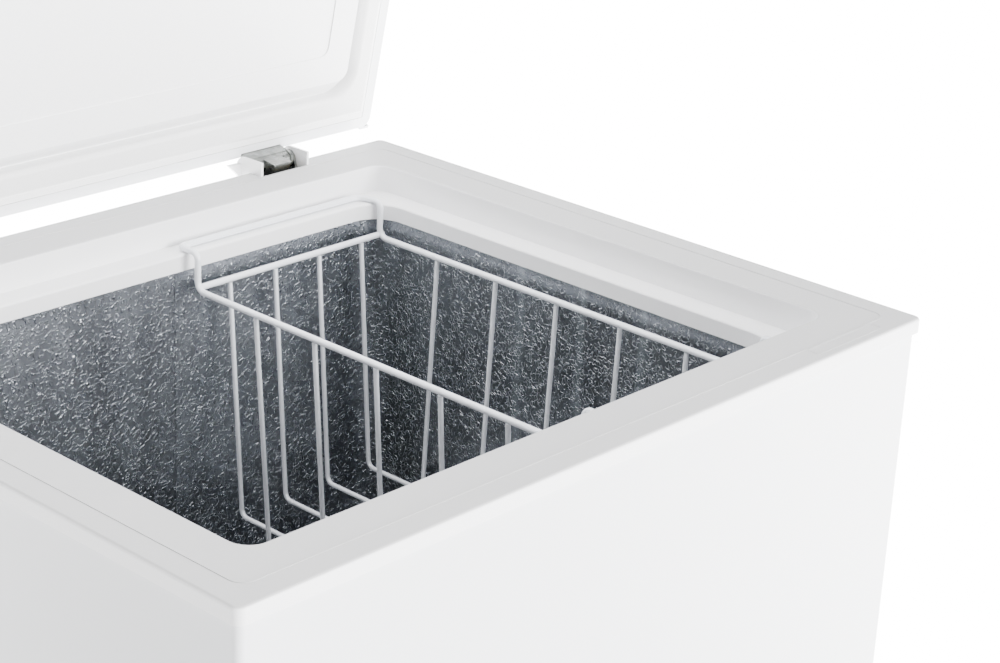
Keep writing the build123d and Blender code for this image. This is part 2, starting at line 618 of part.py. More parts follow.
with BuildPart() as compressor_upper_shell:
    with BuildSketch(level(SHELL_SPLIT)):
        with Locations((COMPRESSOR_X, COMPRESSOR_Y)):
            RectangleRounded(SHELL_X, SHELL_Y, SHELL_CORNER)
    extrude(amount=SHELL_TOP - SHELL_SPLIT)
    fillet(compressor_upper_shell.faces().sort_by(Axis.Z)[-1].edges(), radius=30)
    with BuildSketch(level(SHELL_SPLIT)):
        with Locations((COMPRESSOR_X, COMPRESSOR_Y)):
            RectangleRounded(SHELL_X + 6, SHELL_Y + 6, SHELL_CORNER + 3)
    extrude(amount=4)
    with BuildSketch(level(SHELL_SPLIT)):
        with Locations((COMPRESSOR_X, COMPRESSOR_Y)):
            RectangleRounded(SHELL_X - 2 * SHELL_WALL, SHELL_Y - 2 * SHELL_WALL,
                             SHELL_CORNER - SHELL_WALL)
    extrude(amount=48, mode=Mode.SUBTRACT)
    with BuildSketch(level(SHELL_SPLIT)):
        with Locations((COMPRESSOR_X, COMPRESSOR_Y)):
            RectangleRounded(SHELL_X - 42, SHELL_Y - 42, SHELL_CORNER - 21)
    extrude(amount=SHELL_TOP - SHELL_SPLIT - SHELL_WALL - 4, mode=Mode.SUBTRACT)
    # the discharge stub at the back, and the short sealed charging stub on the top
    with BuildSketch(facing_back(COMPRESSOR_Y + SHELL_Y / 2 - 12)):
        with Locations((-COMPRESSOR_X, DISCHARGE_Z - 20)):
            Circle(CONDENSER_TUBE + 1.5)
    extrude(amount=17)
    with BuildSketch(level(SHELL_TOP - 2)):
        with Locations((COMPRESSOR_X + 26, COMPRESSOR_Y + 20)):
            Circle(3)
    extrude(amount=22)
compressor_upper_shell.part.label = "compressor_upper_shell"
export_step(compressor_upper_shell.part, "parts/compressor_upper_shell.step")

with BuildPart() as compressor_pump_unit:
    with BuildSketch(level(82)):
        with Locations((COMPRESSOR_X, COMPRESSOR_Y)):
            RectangleRounded(96, 96, 12)
    extrude(amount=40)
    with BuildSketch(level(122)):
        with Locations((COMPRESSOR_X, COMPRESSOR_Y)):
            Circle(40)
    extrude(amount=26)
    with BuildSketch(level(148)):
        with Locations((COMPRESSOR_X + 14, COMPRESSOR_Y)):
            RectangleRounded(52, 40, 6)
    extrude(amount=28)
    # four spring posts down to the shell's floor
    with BuildSketch(level(SHELL_BOTTOM + SHELL_WALL)):
        with Locations((COMPRESSOR_X, COMPRESSOR_Y)):
            with GridLocations(64, 64, 2, 2):
                Circle(6)
    extrude(amount=82 - SHELL_BOTTOM - SHELL_WALL)
compressor_pump_unit.part.label = "compressor_pump_unit"
export_step(compressor_pump_unit.part, "parts/compressor_pump_unit.step")

with BuildPart() as compressor_mount_plate:
    with BuildSketch(level(49)):
        with Locations((COMPRESSOR_X, COMPRESSOR_Y)):
            RectangleRounded(138, 204, 12)
            with GridLocations(110, 176, 2, 2):
                Circle(3.3, mode=Mode.SUBTRACT)
            RectangleRounded(50, 60, 8, mode=Mode.SUBTRACT)
    extrude(amount=2.5)
compressor_mount_plate.part.label = "compressor_mount_plate"
export_step(compressor_mount_plate.part, "parts/compressor_mount_plate.step")

with BuildPart() as compressor_grommets:
    with BuildSketch(level(PAN_TOP)):
        with Locations((COMPRESSOR_X, COMPRESSOR_Y)):
            with GridLocations(110, 176, 2, 2):
                Circle(12)
                Circle(3.3, mode=Mode.SUBTRACT)
    extrude(amount=49 - PAN_TOP)
    with BuildSketch(level(38)):
        with Locations((COMPRESSOR_X, COMPRESSOR_Y)):
            with GridLocations(110, 176, 2, 2):
                Circle(13)
                Circle(9.5, mode=Mode.SUBTRACT)
    extrude(amount=4, mode=Mode.SUBTRACT)
compressor_grommets.part.label = "compressor_grommets"
export_step(compressor_grommets.part, "parts/compressor_grommets.step")

with BuildPart() as compressor_bolts:
    with BuildSketch(level(PAN_TOP)):
        with Locations((COMPRESSOR_X, COMPRESSOR_Y)):
            with GridLocations(110, 176, 2, 2):
                Circle(3)
    extrude(amount=51.6 - PAN_TOP)
    with BuildSketch(level(51.5)):
        with Locations((COMPRESSOR_X, COMPRESSOR_Y)):
            with GridLocations(110, 176, 2, 2):
                RegularPolygon(6, 6)
    extrude(amount=4)
compressor_bolts.part.label = "compressor_bolts"
export_step(compressor_bolts.part, "parts/compressor_bolts.step")

SHELL_FRONT = COMPRESSOR_Y - SHELL_Y / 2
with BuildPart() as terminal_cover:
    with BuildSketch(facing_back(SHELL_FRONT)):
        with Locations((-COMPRESSOR_X, 97)):
            RectangleRounded(38, 40, 4)
    extrude(amount=-30)
    fillet(terminal_cover.faces().sort_by(Axis.Y)[0].edges(), radius=3)
    with BuildSketch(facing_back(SHELL_FRONT)):
        with Locations((-COMPRESSOR_X, 97)):
            Rectangle(34, 36)
    extrude(amount=-28, mode=Mode.SUBTRACT)
terminal_cover.part.label = "terminal_cover"
export_step(terminal_cover.part, "parts/terminal_cover.step")

with BuildPart() as start_relay:
    with BuildSketch(facing_back(SHELL_FRONT)):
        with Locations((-COMPRESSOR_X, 97)):
            RectangleRounded(24, 26, 3)
    extrude(amount=-22)
start_relay.part.label = "start_relay"
export_step(start_relay.part, "parts/start_relay.step")

with BuildPart() as wiring_harness:
    with BuildLine() as mains_path:
        FilletPolyline(
            (GLAND_X, WRAP_Y - 7, GLAND_Z),
            (GLAND_X, 242, GLAND_Z),
            (300, 220, GLAND_Z),
            (300, 56, GLAND_Z),
            (300, 56, 97),
            (COMPRESSOR_X + 19, 56, 97),
            radius=[9, 9, 9, 9],
        )
    with BuildSketch(start_of(mains_path)):
        Circle(3.4)
    sweep()
    with BuildLine() as control_path:
        FilletPolyline(
            (KNOB_X + 40, -WRAP_Y + 22, KNOB_Z - 4),
            (KNOB_X + 40, -215, KNOB_Z - 4),
            (KNOB_X + 30, -190, 97),
            (COMPRESSOR_X, -170, 97),
            (COMPRESSOR_X, SHELL_FRONT - 30, 97),
            radius=8,
        )
    with BuildSketch(start_of(control_path)):
        Circle(3)
    sweep()
wiring_harness.part.label = "wiring_harness"
export_step(wiring_harness.part, "parts/wiring_harness.step")

with BuildPart() as bay_rear_cover:
    with BuildSketch(facing_back(WRAP_Y)):
        with Locations((-(BAY_LEFT + FOAM_X) / 2, 146.4)):
            RectangleRounded(195, 230, 3)
            with Locations((0, -10)):
                with GridLocations(60, 13, 3, 10):
                    SlotOverall(48, 5, mode=Mode.SUBTRACT)
        with Locations((-GLAND_X, GLAND_Z)):
            Circle(13)
            Circle(6.6, mode=Mode.SUBTRACT)
        for screw_x, screw_z in COVER_SCREWS:
            with Locations((-screw_x, screw_z)):
                Circle(2, mode=Mode.SUBTRACT)
    extrude(amount=0.8)
bay_rear_cover.part.label = "bay_rear_cover"
export_step(bay_rear_cover.part, "parts/bay_rear_cover.step")

with BuildPart() as bay_cover_screws:
    for screw_x, screw_z in COVER_SCREWS:
        with BuildSketch(facing_back(WRAP_Y - 7)):
            with Locations((-screw_x, screw_z)):
                Circle(1.8)
        extrude(amount=8)
        with BuildSketch(facing_back(WRAP_Y + 0.8)):
            with Locations((-screw_x, screw_z)):
                Circle(3.8)
        extrude(amount=2)
        with BuildSketch(facing_back(WRAP_Y + 1.8)):
            with Locations((-screw_x, screw_z)):
                Rectangle(4.4, 0.9)
                Rectangle(0.9, 4.4)
        extrude(amount=2, mode=Mode.SUBTRACT)
bay_cover_screws.part.label = "bay_cover_screws"
export_step(bay_cover_screws.part, "parts/bay_cover_screws.step")

with BuildPart() as cord_gland:
    with BuildSketch(facing_back(WRAP_Y - 6)):
        with Locations((-GLAND_X, GLAND_Z)):
            Circle(6.5)
    extrude(amount=8)
    with BuildSketch(facing_back(WRAP_Y + 0.8)):
        with Locations((-GLAND_X, GLAND_Z)):
            Circle(10)
    extrude(amount=5)
    fillet(cord_gland.edges().group_by(Axis.Y)[-1], radius=1.5)
    with BuildSketch(facing_back(WRAP_Y - 6)):
        with Locations((-GLAND_X, GLAND_Z)):
            Circle(3.8)
    extrude(amount=12, mode=Mode.SUBTRACT)
cord_gland.part.label = "cord_gland"
export_step(cord_gland.part, "parts/cord_gland.step")

with BuildPart() as side_grille:
    with BuildSketch(facing_right(WRAP_X)):
        with Locations((GRILLE_Y, GRILLE_Z)):
            RectangleRounded(GRILLE_W, GRILLE_H, 8)
    extrude(amount=3)
    fillet(side_grille.faces().sort_by(Axis.X)[-1].edges(), radius=1.4)
    with BuildSketch(facing_right(WRAP_X)):
        with Locations((GRILLE_Y, GRILLE_Z)):
            Rectangle(GRILLE_W - 11, GRILLE_H - 11)
            Rectangle(GRILLE_W - 15, GRILLE_H - 15, mode=Mode.SUBTRACT)
    extrude(amount=-4)
    with BuildSketch(facing_right(WRAP_X)):
        with Locations((GRILLE_Y, GRILLE_Z)):
            with GridLocations(76, 13, 2, 9):
                SlotOverall(66, 6)
    extrude(amount=5, mode=Mode.SUBTRACT)
side_grille.part.label = "side_grille"
export_step(side_grille.part, "parts/side_grille.step")

# ---------------------------------------------------------------- feet
with BuildPart() as feet:
    for foot_x in (-280, 280):
        for foot_y in (-235, 235):
            with BuildSketch(level(0)):
                with Locations((foot_x, foot_y)):
                    Circle(20)
            with BuildSketch(level(CABINET_BOTTOM)):
                with Locations((foot_x, foot_y)):
                    Circle(16)
            loft()
    fillet(feet.edges().group_by(Axis.Z)[0], radius=2)
feet.part.label = "feet"
export_step(feet.part, "parts/feet.step")

# ---------------------------------------------------------------- hinges on the cabinet
HINGES = (("left", -HINGE_X), ("right", HINGE_X))

with BuildPart() as hinge_pins:
    for side_name, middle in HINGES:
        with BuildSketch(facing_right(middle - 23.3)):
            with Locations((PIN_Y, PIN_Z)):
                Circle(PIN_RADIUS)
        extrude(amount=46.6)
hinge_pins.part.label = "hinge_pins"
export_step(hinge_pins.part, "parts/hinge_pins.step")

SCREW_SPOTS = [(dx, z) for dx in (-14, 14) for z in (POCKET_BOTTOM + 17, POCKET_BOTTOM + 67)]
SPRING_SEAT = POCKET_BOTTOM + 4
PLATE_BACK = POCKET_FRONT + 2
for side_name, middle in HINGES:
    with BuildPart() as hinge_base:
        with BuildSketch(facing_back(POCKET_FRONT)):
            with Locations((-middle, (POCKET_BOTTOM + 2 + FRAME_TOP - 13) / 2)):
                Rectangle(46.4, FRAME_TOP - 15 - POCKET_BOTTOM)
            for screw_x, screw_z in SCREW_SPOTS:
                with Locations((-middle + screw_x, screw_z)):
                    Circle(2, mode=Mode.SUBTRACT)
        extrude(amount=2)
        for ear in (-1, 1):
            with BuildSketch(facing_right(middle + ear * 22.2 - 1)):
                Polygon((POCKET_FRONT, POCKET_BOTTOM + 2), (283.4, POCKET_BOTTOM + 2),
                        (283.4, PIN_Z), (PIN_Y - 7, PIN_Z), (PIN_Y - 13, PIN_Z - 14),
                        (POCKET_FRONT, FRAME_TOP - 13), align=None)
                with Locations((PIN_Y, PIN_Z)):
                    Circle(7)
                    Circle(PIN_RADIUS, mode=Mode.SUBTRACT)
            extrude(amount=2)
        with BuildSketch(level(SPRING_SEAT - 2)):
            with Locations((middle, (POCKET_FRONT + 283.4) / 2)):
                Rectangle(46.4, 283.4 - POCKET_FRONT)
        extrude(amount=2)
    hinge_base.part.label = "hinge_base_" + side_name
    export_step(hinge_base.part, "parts/hinge_base_" + side_name + ".step")

    with BuildPart() as hinge_cover:
        for cheek in (-1, 1):
            with BuildSketch(facing_right(middle + cheek * 24.55 - 1.1)):
                Polygon((POCKET_FRONT + 0.2, POCKET_BOTTOM), (285.7, POCKET_BOTTOM),
                        (285.7, PIN_Z), (PIN_Y, PIN_Z + 9.3), (POCKET_FRONT + 0.2, PIN_Z + 9.3),
                        align=None)
                with Locations((PIN_Y, PIN_Z)):
                    Circle(9.3)
            extrude(amount=2.2)
            # the small gusset outside each cheek
            with BuildSketch(facing_back(280)):
                Polygon((-middle - cheek * 25.65, PIN_Z - 8.7), (-middle - cheek * 25.65, PIN_Z + 3.3),
                        (-middle - cheek * 38, PIN_Z + 3.3), align=None)
            extrude(amount=4)
        with BuildSketch(level(POCKET_BOTTOM)):
            with Locations((middle, (POCKET_FRONT + 0.2 + 285.7) / 2)):
                Rectangle(2 * COVER_HALF, 285.7 - POCKET_FRONT - 0.2)
        extrude(amount=2)
        with BuildSketch(level(POCKET_BOTTOM)):
            with Locations((middle, 284.7)):
                Rectangle(2 * COVER_HALF, 2)
        extrude(amount=PIN_Z - 7 - POCKET_BOTTOM)
    hinge_cover.part.label = "hinge_cover_" + side_name
    export_step(hinge_cover.part, "parts/hinge_cover_" + side_name + ".step")

    with BuildPart() as hinge_plunger:
        with BuildSketch(level(PLUNGER_TOP - PLUNGER_HEIGHT)):
            with Locations((middle, PLUNGER_Y)):
                RectangleRounded(35, 17, 3)
        extrude(amount=PLUNGER_HEIGHT)
        fillet(hinge_plunger.faces().sort_by(Axis.Z)[-1].edges(), radius=1)
    hinge_plunger.part.label = "hinge_plunger_" + side_name
    export_step(hinge_plunger.part, "parts/hinge_plunger_" + side_name + ".step")

    SPRING_WIRE = 1.2
    SPRING_LENGTH = PLUNGER_TOP - PLUNGER_HEIGHT - SPRING_SEAT - 2 * SPRING_WIRE - 0.2
    with BuildPart() as hinge_spring:
        with BuildLine() as spring_path:
            Helix(pitch=SPRING_LENGTH / 11, height=SPRING_LENGTH, radius=6.3)
        with BuildSketch(start_of(spring_path)):
            Circle(SPRING_WIRE)
        sweep()
    hinge_spring.part.move(Location((middle, PLUNGER_Y, SPRING_SEAT + SPRING_WIRE + 0.1)))
    hinge_spring.part.label = "hinge_spring_" + side_name
    export_step(hinge_spring.part, "parts/hinge_spring_" + side_name + ".step")

with BuildPart() as hinge_reinforcements:
    with BuildSketch(facing_back(POCKET_FRONT - 2)):
        for side_name, middle in HINGES:
            with Locations((-middle, POCKET_BOTTOM + 42)):
                RectangleRounded(72, 84, 4)
            for screw_x, screw_z in SCREW_SPOTS:
                with Locations((-middle + screw_x, screw_z)):
                    Circle(2, mode=Mode.SUBTRACT)
    extrude(amount=2)
hinge_reinforcements.part.label = "hinge_reinforcements"
export_step(hinge_reinforcements.part, "parts/hinge_reinforcements.step")

with BuildPart() as hinge_base_screws:
    for side_name, middle in HINGES:
        for screw_x, screw_z in SCREW_SPOTS:
            with BuildSketch(facing_back(POCKET_FRONT - 9)):
                with Locations((-middle + screw_x, screw_z)):
                    Circle(2)
            extrude(amount=12)
            with BuildSketch(facing_back(PLATE_BACK)):
                with Locations((-middle + screw_x, screw_z)):
                    Circle(4)
            extrude(amount=2.4)
            with BuildSketch(facing_back(PLATE_BACK + 1.2)):
                with Locations((-middle + screw_x, screw_z)):
                    RegularPolygon(2, 6)
            extrude(amount=2, mode=Mode.SUBTRACT)
hinge_base_screws.part.label = "hinge_base_screws"
export_step(hinge_base_screws.part, "parts/hinge_base_screws.step")

# ---------------------------------------------------------------- insulation of the cabinet
with BuildPart() as body_foam:
    with BuildSketch(level(PAN_TOP)) as foam_plan:
        Rectangle(2 * FOAM_X, 2 * FOAM_Y)
        fillet(foam_plan.vertices().group_by(Axis.Y)[0], radius=4.3)
    extrude(amount=WRAPPER_TOP - PAN_TOP)
    with BuildSketch(level(TANK_TOP)):
        RectangleRounded(2 * (MOUTH_X + FRAME_WALL), 2 * (MOUTH_Y + FRAME_WALL),
                         MOUTH_CORNER + FRAME_WALL)
    extrude(amount=WRAPPER_TOP - TANK_TOP, mode=Mode.SUBTRACT)
    # the tank with its step over the machine bay
    with BuildSketch(level(HUMP_TOP - TANK_SHEET)):
        RectangleRounded(2 * (TANK_X + TANK_SHEET), 2 * (TANK_Y + TANK_SHEET),
                         TANK_CORNER + TANK_SHEET)
    extrude(amount=TANK_TOP - HUMP_TOP + TANK_SHEET, mode=Mode.SUBTRACT)
    with BuildSketch(level(TANK_FLOOR - TANK_SHEET)):
        RectangleRounded(2 * (TANK_X + TANK_SHEET), 2 * (TANK_Y + TANK_SHEET),
                         TANK_CORNER + TANK_SHEET)
        with Locations((HUMP_LEFT + TANK_SHEET + 150, 0)):
            Rectangle(300, FRAME_DEPTH, mode=Mode.SUBTRACT)
    extrude(amount=HUMP_TOP - TANK_FLOOR, mode=Mode.SUBTRACT)
    # the machine bay
    with BuildSketch(level(PAN_TOP)):
        with Locations(((BAY_LEFT + WRAP_X) / 2, 0)):
            Rectangle(WRAP_X - BAY_LEFT, FRAME_DEPTH)
    extrude(amount=BAY_TOP - PAN_TOP, mode=Mode.SUBTRACT)
    # pockets for the hinges, their backing plates and screws
    with BuildSketch(level(POCKET_BOTTOM)):
        for side_name, middle in HINGES:
            with Locations((middle, POCKET_FRONT + 15)):
                Rectangle(2 * POCKET_HALF, 30)
    extrude(amount=POCKET_DEPTH, mode=Mode.SUBTRACT)
    add(hinge_reinforcements.part, mode=Mode.SUBTRACT)
    add(hinge_base_screws.part, mode=Mode.SUBTRACT)
    # the tubes and the drain
    add(evaporator_tube.part, mode=Mode.SUBTRACT)
    add(condenser_tube.part, mode=Mode.SUBTRACT)
    add(capillary_tube.part, mode=Mode.SUBTRACT)
    add(discharge_line.part, mode=Mode.SUBTRACT)
    add(suction_line.part, mode=Mode.SUBTRACT)
    add(thermostat_probe.part, mode=Mode.SUBTRACT)
    add(drain_route.part, mode=Mode.SUBTRACT)
body_foam.part.label = "body_foam"
export_step(body_foam.part, "parts/body_foam.step")

# ---------------------------------------------------------------- lid, drawn closed
LID_MIDDLE_Y = (LID_FRONT + LID_REAR) / 2
LID_DEPTH = LID_REAR - LID_FRONT
PANEL_THICK = 1.5
TRAY_DROP = 24.0
LEAF_BACK = LID_REAR - SHEET             # the hinge leaf lies flat inside the lid's rear wall
LEAF_REACH = 32.0                        # how far it runs up into the lid
RIVET_SPOTS = [(-middle + dx, LID_HEM_Z + 16) for side_name, middle in HINGES for dx in (-11, 11)]


def lid_outline(inset):
    """The lid's plan, drawn in by this much all round."""
    with Locations((0, LID_MIDDLE_Y)):
        RectangleRounded(FRAME_WIDTH - 2 * inset, LID_DEPTH - 2 * inset, max(LID_CORNER - inset, 1))


def tray_outline(inset, corner, mode=Mode.ADD):
    """The plan of the raised inner tray, drawn in by this much all round."""
    with Locations((0, LID_MIDDLE_Y)):
        RectangleRounded(FRAME_WIDTH - 79 - 2 * inset, LID_DEPTH - 84 - 2 * inset, corner, mode=mode)


with BuildPart() as lid_core:
    with BuildSketch(level(LID_HEM_Z + SHEET)):
        lid_outline(SHEET)
    extrude(amount=LID_HEIGHT - 2 * SHEET)
    fillet(lid_core.faces().sort_by(Axis.Z)[-1].edges(), radius=7.3)

with BuildPart() as lid_shell:
    with BuildSketch(level(LID_HEM_Z)):
        lid_outline(0)
    extrude(amount=LID_HEIGHT)
    fillet(lid_shell.faces().sort_by(Axis.Z)[-1].edges(), radius=8)
    add(lid_core.part, mode=Mode.SUBTRACT)
    with BuildSketch(level(LID_HEM_Z)):
        lid_outline(LID_HEM)
    extrude(amount=SHEET, mode=Mode.SUBTRACT)
    # the side skirts run on a little past the rear wall
    for side in (-1, 1):
        with BuildSketch(level(LID_HEM_Z)):
            with Locations((side * (HALF_W - 4.8), LID_REAR + 0.85)):
                Rectangle(9.6, 2.3)
        extrude(amount=LID_HEIGHT - 6)
    # slots in the folded rear edge for the hinge leaves, and their rivet holes in the rear wall
    with BuildSketch(level(LID_HEM_Z - 1)):
        for side_name, middle in HINGES:
            with Locations((middle, LEAF_BACK - 1.2)):
                Rectangle(42.4, 2.4)
    extrude(amount=3.6, mode=Mode.SUBTRACT)
    with BuildSketch(facing_back(LID_REAR - 4)):
        with Locations(*RIVET_SPOTS):
            Circle(2)
    extrude(amount=8, mode=Mode.SUBTRACT)
lid_shell.part.move(LID_OPENED)
lid_shell.part.label = "lid_shell"
export_step(lid_shell.part, "parts/lid_shell.step")

with BuildPart() as tray_fill:
    with BuildSketch(level(LID_HEM_Z + PANEL_THICK)):
        tray_outline(1.1, 20)
    with BuildSketch(level(LID_HEM_Z - TRAY_DROP + 2)):
        tray_outline(PANEL_SLOPE + 1.1, 9)
    loft()

with BuildPart() as lid_inner_panel:
    with BuildSketch(level(LID_HEM_Z)):
        tray_outline(0, 21)
    with BuildSketch(level(LID_HEM_Z - TRAY_DROP)):
        tray_outline(PANEL_SLOPE, 10)
    loft()
    with BuildSketch(level(LID_HEM_Z)):
        lid_outline(10)
    extrude(amount=PANEL_THICK)
    add(tray_fill.part, mode=Mode.SUBTRACT)
    # a shallow sunk field with a raised border on the tray's face
    with BuildSketch(level(LID_HEM_Z - TRAY_DROP)):
        tray_outline(47, 8)
        tray_outline(89, 6)
    extrude(amount=0.9, mode=Mode.SUBTRACT)
lid_inner_panel.part.move(LID_OPENED)
lid_inner_panel.part.label = "lid_inner_panel"
export_step(lid_inner_panel.part, "parts/lid_inner_panel.step")

with BuildPart() as lid_foam:
    add(lid_core.part)
    with BuildSketch(level(LID_HEM_Z)):
        Rectangle(700, 700)
    extrude(amount=PANEL_THICK, mode=Mode.SUBTRACT)
    add(tray_fill.part)
    with BuildSketch(level(LID_HEM_Z)):
        for side_name, middle in HINGES:
            with Locations((middle, LEAF_BACK - 1)):
                Rectangle(41.2, 2)
    extrude(amount=LEAF_REACH, mode=Mode.SUBTRACT)
    with BuildSketch(facing_back(LEAF_BACK - 3.4)):
        with Locations(*RIVET_SPOTS):
            Circle(3.4)
    extrude(amount=3.4, mode=Mode.SUBTRACT)
lid_foam.part.move(LID_OPENED)
lid_foam.part.label = "lid_foam"
export_step(lid_foam.part, "parts/lid_foam.step")

with BuildPart() as lid_gasket:
    with BuildSketch(level(LID_HEM_Z - 0.8)):
        lid_outline(11)
        tray_outline(-0.4, 22, mode=Mode.SUBTRACT)
    extrude(amount=0.8)
    with BuildSketch(level(LID_HEM_Z - 11.6)):
        lid_outline(21)
        tray_outline(-0.4, 22, mode=Mode.SUBTRACT)
    extrude(amount=10.9)
    fillet(lid_gasket.faces().sort_by(Axis.Z)[0].edges(), radius=4)
lid_gasket.part.move(LID_OPENED)
lid_gasket.part.label = "lid_gasket"
export_step(lid_gasket.part, "parts/lid_gasket.step")

with BuildPart() as lid_handle:
    with BuildSketch(level(LID_HEM_Z + 2)):
        with Locations((0, LID_FRONT - 9)):
            Rectangle(140, 18)
    extrude(amount=20)
    fillet(lid_handle.edges().filter_by(Axis.Z).group_by(Axis.Y)[0], radius=9)
    fillet(lid_handle.faces().sort_by(Axis.Z)[-1].edges().group_by(Axis.Y)[:-1], radius=5)
    with BuildSketch(level(LID_HEM_Z + 2)):
        with Locations((0, LID_FRONT - 8)):
            Rectangle(128, 11)
    extrude(amount=14, mode=Mode.SUBTRACT)
lid_handle.part.move(LID_OPENED)
lid_handle.part.label = "lid_handle"
export_step(lid_handle.part, "parts/lid_handle.step")

# ---------------------------------------------------------------- hinge leaves on the lid
CAM_START = CAM_CLOSED_HEIGHT
for side_name, middle in HINGES:
    with BuildPart() as hinge_leaf:
        with BuildSketch(level(PIN_Z)):
            with Locations((middle, LEAF_BACK - 1)):
                Rectangle(41.2, 2)
        extrude(amount=LID_HEM_Z + LEAF_REACH - PIN_Z)
        for ear in (-1, 1):
            with BuildSketch(facing_right(middle + ear * 19.6 - 1)):
                with Locations((PIN_Y, PIN_Z)):
                    Circle(7.5)
            extrude(amount=2)
        with BuildSketch(facing_right(middle - 18.6)):
            with Locations((PIN_Y, PIN_Z)):
                Circle(6.5)
        extrude(amount=37.2)
        # the cam: its working face is an involute, so the plunger sinks evenly as the lid closes
        with BuildSketch(facing_right(middle - 9)):
            with BuildLine():
                cam_points = []
                for step in range(13):
                    turn = radians(LID_SWING_DEG) * step / 12
                    reach = CAM_START - CAM_BASE_RADIUS * turn
                    cam_points.append((PIN_Y - CAM_BASE_RADIUS * cos(turn) + reach * sin(turn),
                                       PIN_Z - CAM_BASE_RADIUS * sin(turn) - reach * cos(turn)))
                Spline(*cam_points)
                Polyline(cam_points[-1], (PIN_Y + 6, PIN_Z), (PIN_Y, PIN_Z + 6), (PIN_Y - 6, PIN_Z),
                         cam_points[0])
            make_face()
        extrude(amount=18)
        with BuildSketch(facing_right(middle - 22)):
            with Locations((PIN_Y, PIN_Z)):
                Circle(PIN_RADIUS + PIN_RUNNING)
        extrude(amount=44, mode=Mode.SUBTRACT)
        with BuildSketch(facing_back(LEAF_BACK - 4)):
            with Locations(*RIVET_SPOTS):
                Circle(2)
        extrude(amount=8, mode=Mode.SUBTRACT)
    hinge_leaf.part.move(LID_OPENED)
    hinge_leaf.part.label = "hinge_leaf_" + side_name
    export_step(hinge_leaf.part, "parts/hinge_leaf_" + side_name + ".step")

with BuildPart() as hinge_rivets:
    for start, size, length in ((LEAF_BACK - 3.4, 3.4, 1.4), (LEAF_BACK - 2.2, 2, 3),
                                (LID_REAR, 3.8, 1.3)):
        with BuildSketch(facing_back(start)):
            with Locations(*RIVET_SPOTS):
                Circle(size)
        extrude(amount=length)
hinge_rivets.part.move(LID_OPENED)
hinge_rivets.part.label = "hinge_rivets"
export_step(hinge_rivets.part, "parts/hinge_rivets.step")

# ---------------------------------------------------------------- basket
HANGER_RIGHT = BASKET_RIGHT - 4
with BuildPart() as basket_rim:
    for half in (-1, 1):
        with BuildLine() as hanger_path:
            FilletPolyline(
                ((BASKET_LEFT + BASKET_RIGHT) / 2 + half, half * HANGER_Y, HANGER_Z),
                (HANGER_RIGHT, half * HANGER_Y, HANGER_Z),
                (BASKET_RIGHT, half * BASKET_HALF, HANGER_Z),
                (BASKET_RIGHT, half * BASKET_HALF, SIDE_RIM_Z),
                (BASKET_RIGHT, 0, SIDE_RIM_Z),
                radius=[9, 5.5, 8],
            )
        with BuildSketch(start_of(hanger_path)):
            Circle(FRAME_WIRE)
        sweep()
        with BuildLine() as left_hanger_path:
            FilletPolyline(
                ((BASKET_LEFT + BASKET_RIGHT) / 2 + half, half * HANGER_Y, HANGER_Z),
                (BASKET_LEFT, half * HANGER_Y, HANGER_Z),
                (BASKET_LEFT, half * BASKET_HALF, HANGER_Z),
                (BASKET_LEFT, half * BASKET_HALF, SIDE_RIM_Z),
                (BASKET_LEFT, 0, SIDE_RIM_Z),
                radius=[5.5, 5.5, 8],
            )
        with BuildSketch(start_of(left_hanger_path)):
            Circle(FRAME_WIRE)
        sweep()
        with BuildSketch(facing_right(BASKET_LEFT + 0.5)):
            with Locations((half * BASKET_HALF, CROSS_RIM_Z)):
                Circle(FRAME_WIRE)
        extrude(amount=BASKET_RIGHT - BASKET_LEFT + 3)
basket_rim.part.label = "basket_rim"
export_step(basket_rim.part, "parts/basket_rim.step")

LONG_TOP = CROSS_RIM_Z - FRAME_WIRE - 0.2
with BuildPart() as basket_long_wires:
    for wire_x in LONG_WIRE_X:
        with BuildLine() as long_path:
            FilletPolyline(
                (wire_x, -BASKET_HALF, LONG_TOP),
                (wire_x, -BASKET_HALF + BASKET_TAPER, BASKET_BOTTOM),
                (wire_x, BASKET_HALF - BASKET_TAPER, BASKET_BOTTOM),
                (wire_x, BASKET_HALF, LONG_TOP),
                radius=6.5,
            )
        with BuildSketch(start_of(long_path)):
            Circle(INFILL_WIRE)
        sweep()
basket_long_wires.part.label = "basket_long_wires"
export_step(basket_long_wires.part, "parts/basket_long_wires.step")

CROSS_TOP = SIDE_RIM_Z - FRAME_WIRE - 0.2
CROSS_BOTTOM = BASKET_BOTTOM - 2 * INFILL_WIRE
with BuildPart() as basket_cross_wires:
    for place in range(-2, 3):
        with BuildLine() as cross_path:
            FilletPolyline(
                (BASKET_LEFT, place * CROSS_WIRE_PITCH, CROSS_TOP),
                (BASKET_LEFT + BASKET_TAPER, place * CROSS_WIRE_PITCH, CROSS_BOTTOM),
                (BASKET_RIGHT - BASKET_TAPER / 2, place * CROSS_WIRE_PITCH, CROSS_BOTTOM),
                (BASKET_RIGHT, place * CROSS_WIRE_PITCH, CROSS_TOP),
                radius=6.5,
            )
        with BuildSketch(start_of(cross_path)):
            Circle(INFILL_WIRE)
        sweep()
basket_cross_wires.part.label = "basket_cross_wires"
export_step(basket_cross_wires.part, "parts/basket_cross_wires.step")
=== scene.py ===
"""Finishes for a chest freezer: painted steel, moulded plastic, aluminium and coated wire.

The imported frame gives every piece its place. This add-on gives each piece its surface, adds the
small pieces that the frame leaves out, and sets up the floor, the lights and the camera.
"""

import math

import bmesh
import bpy
from bpy.props import FloatProperty, FloatVectorProperty, PointerProperty
from mathutils import Matrix, Vector


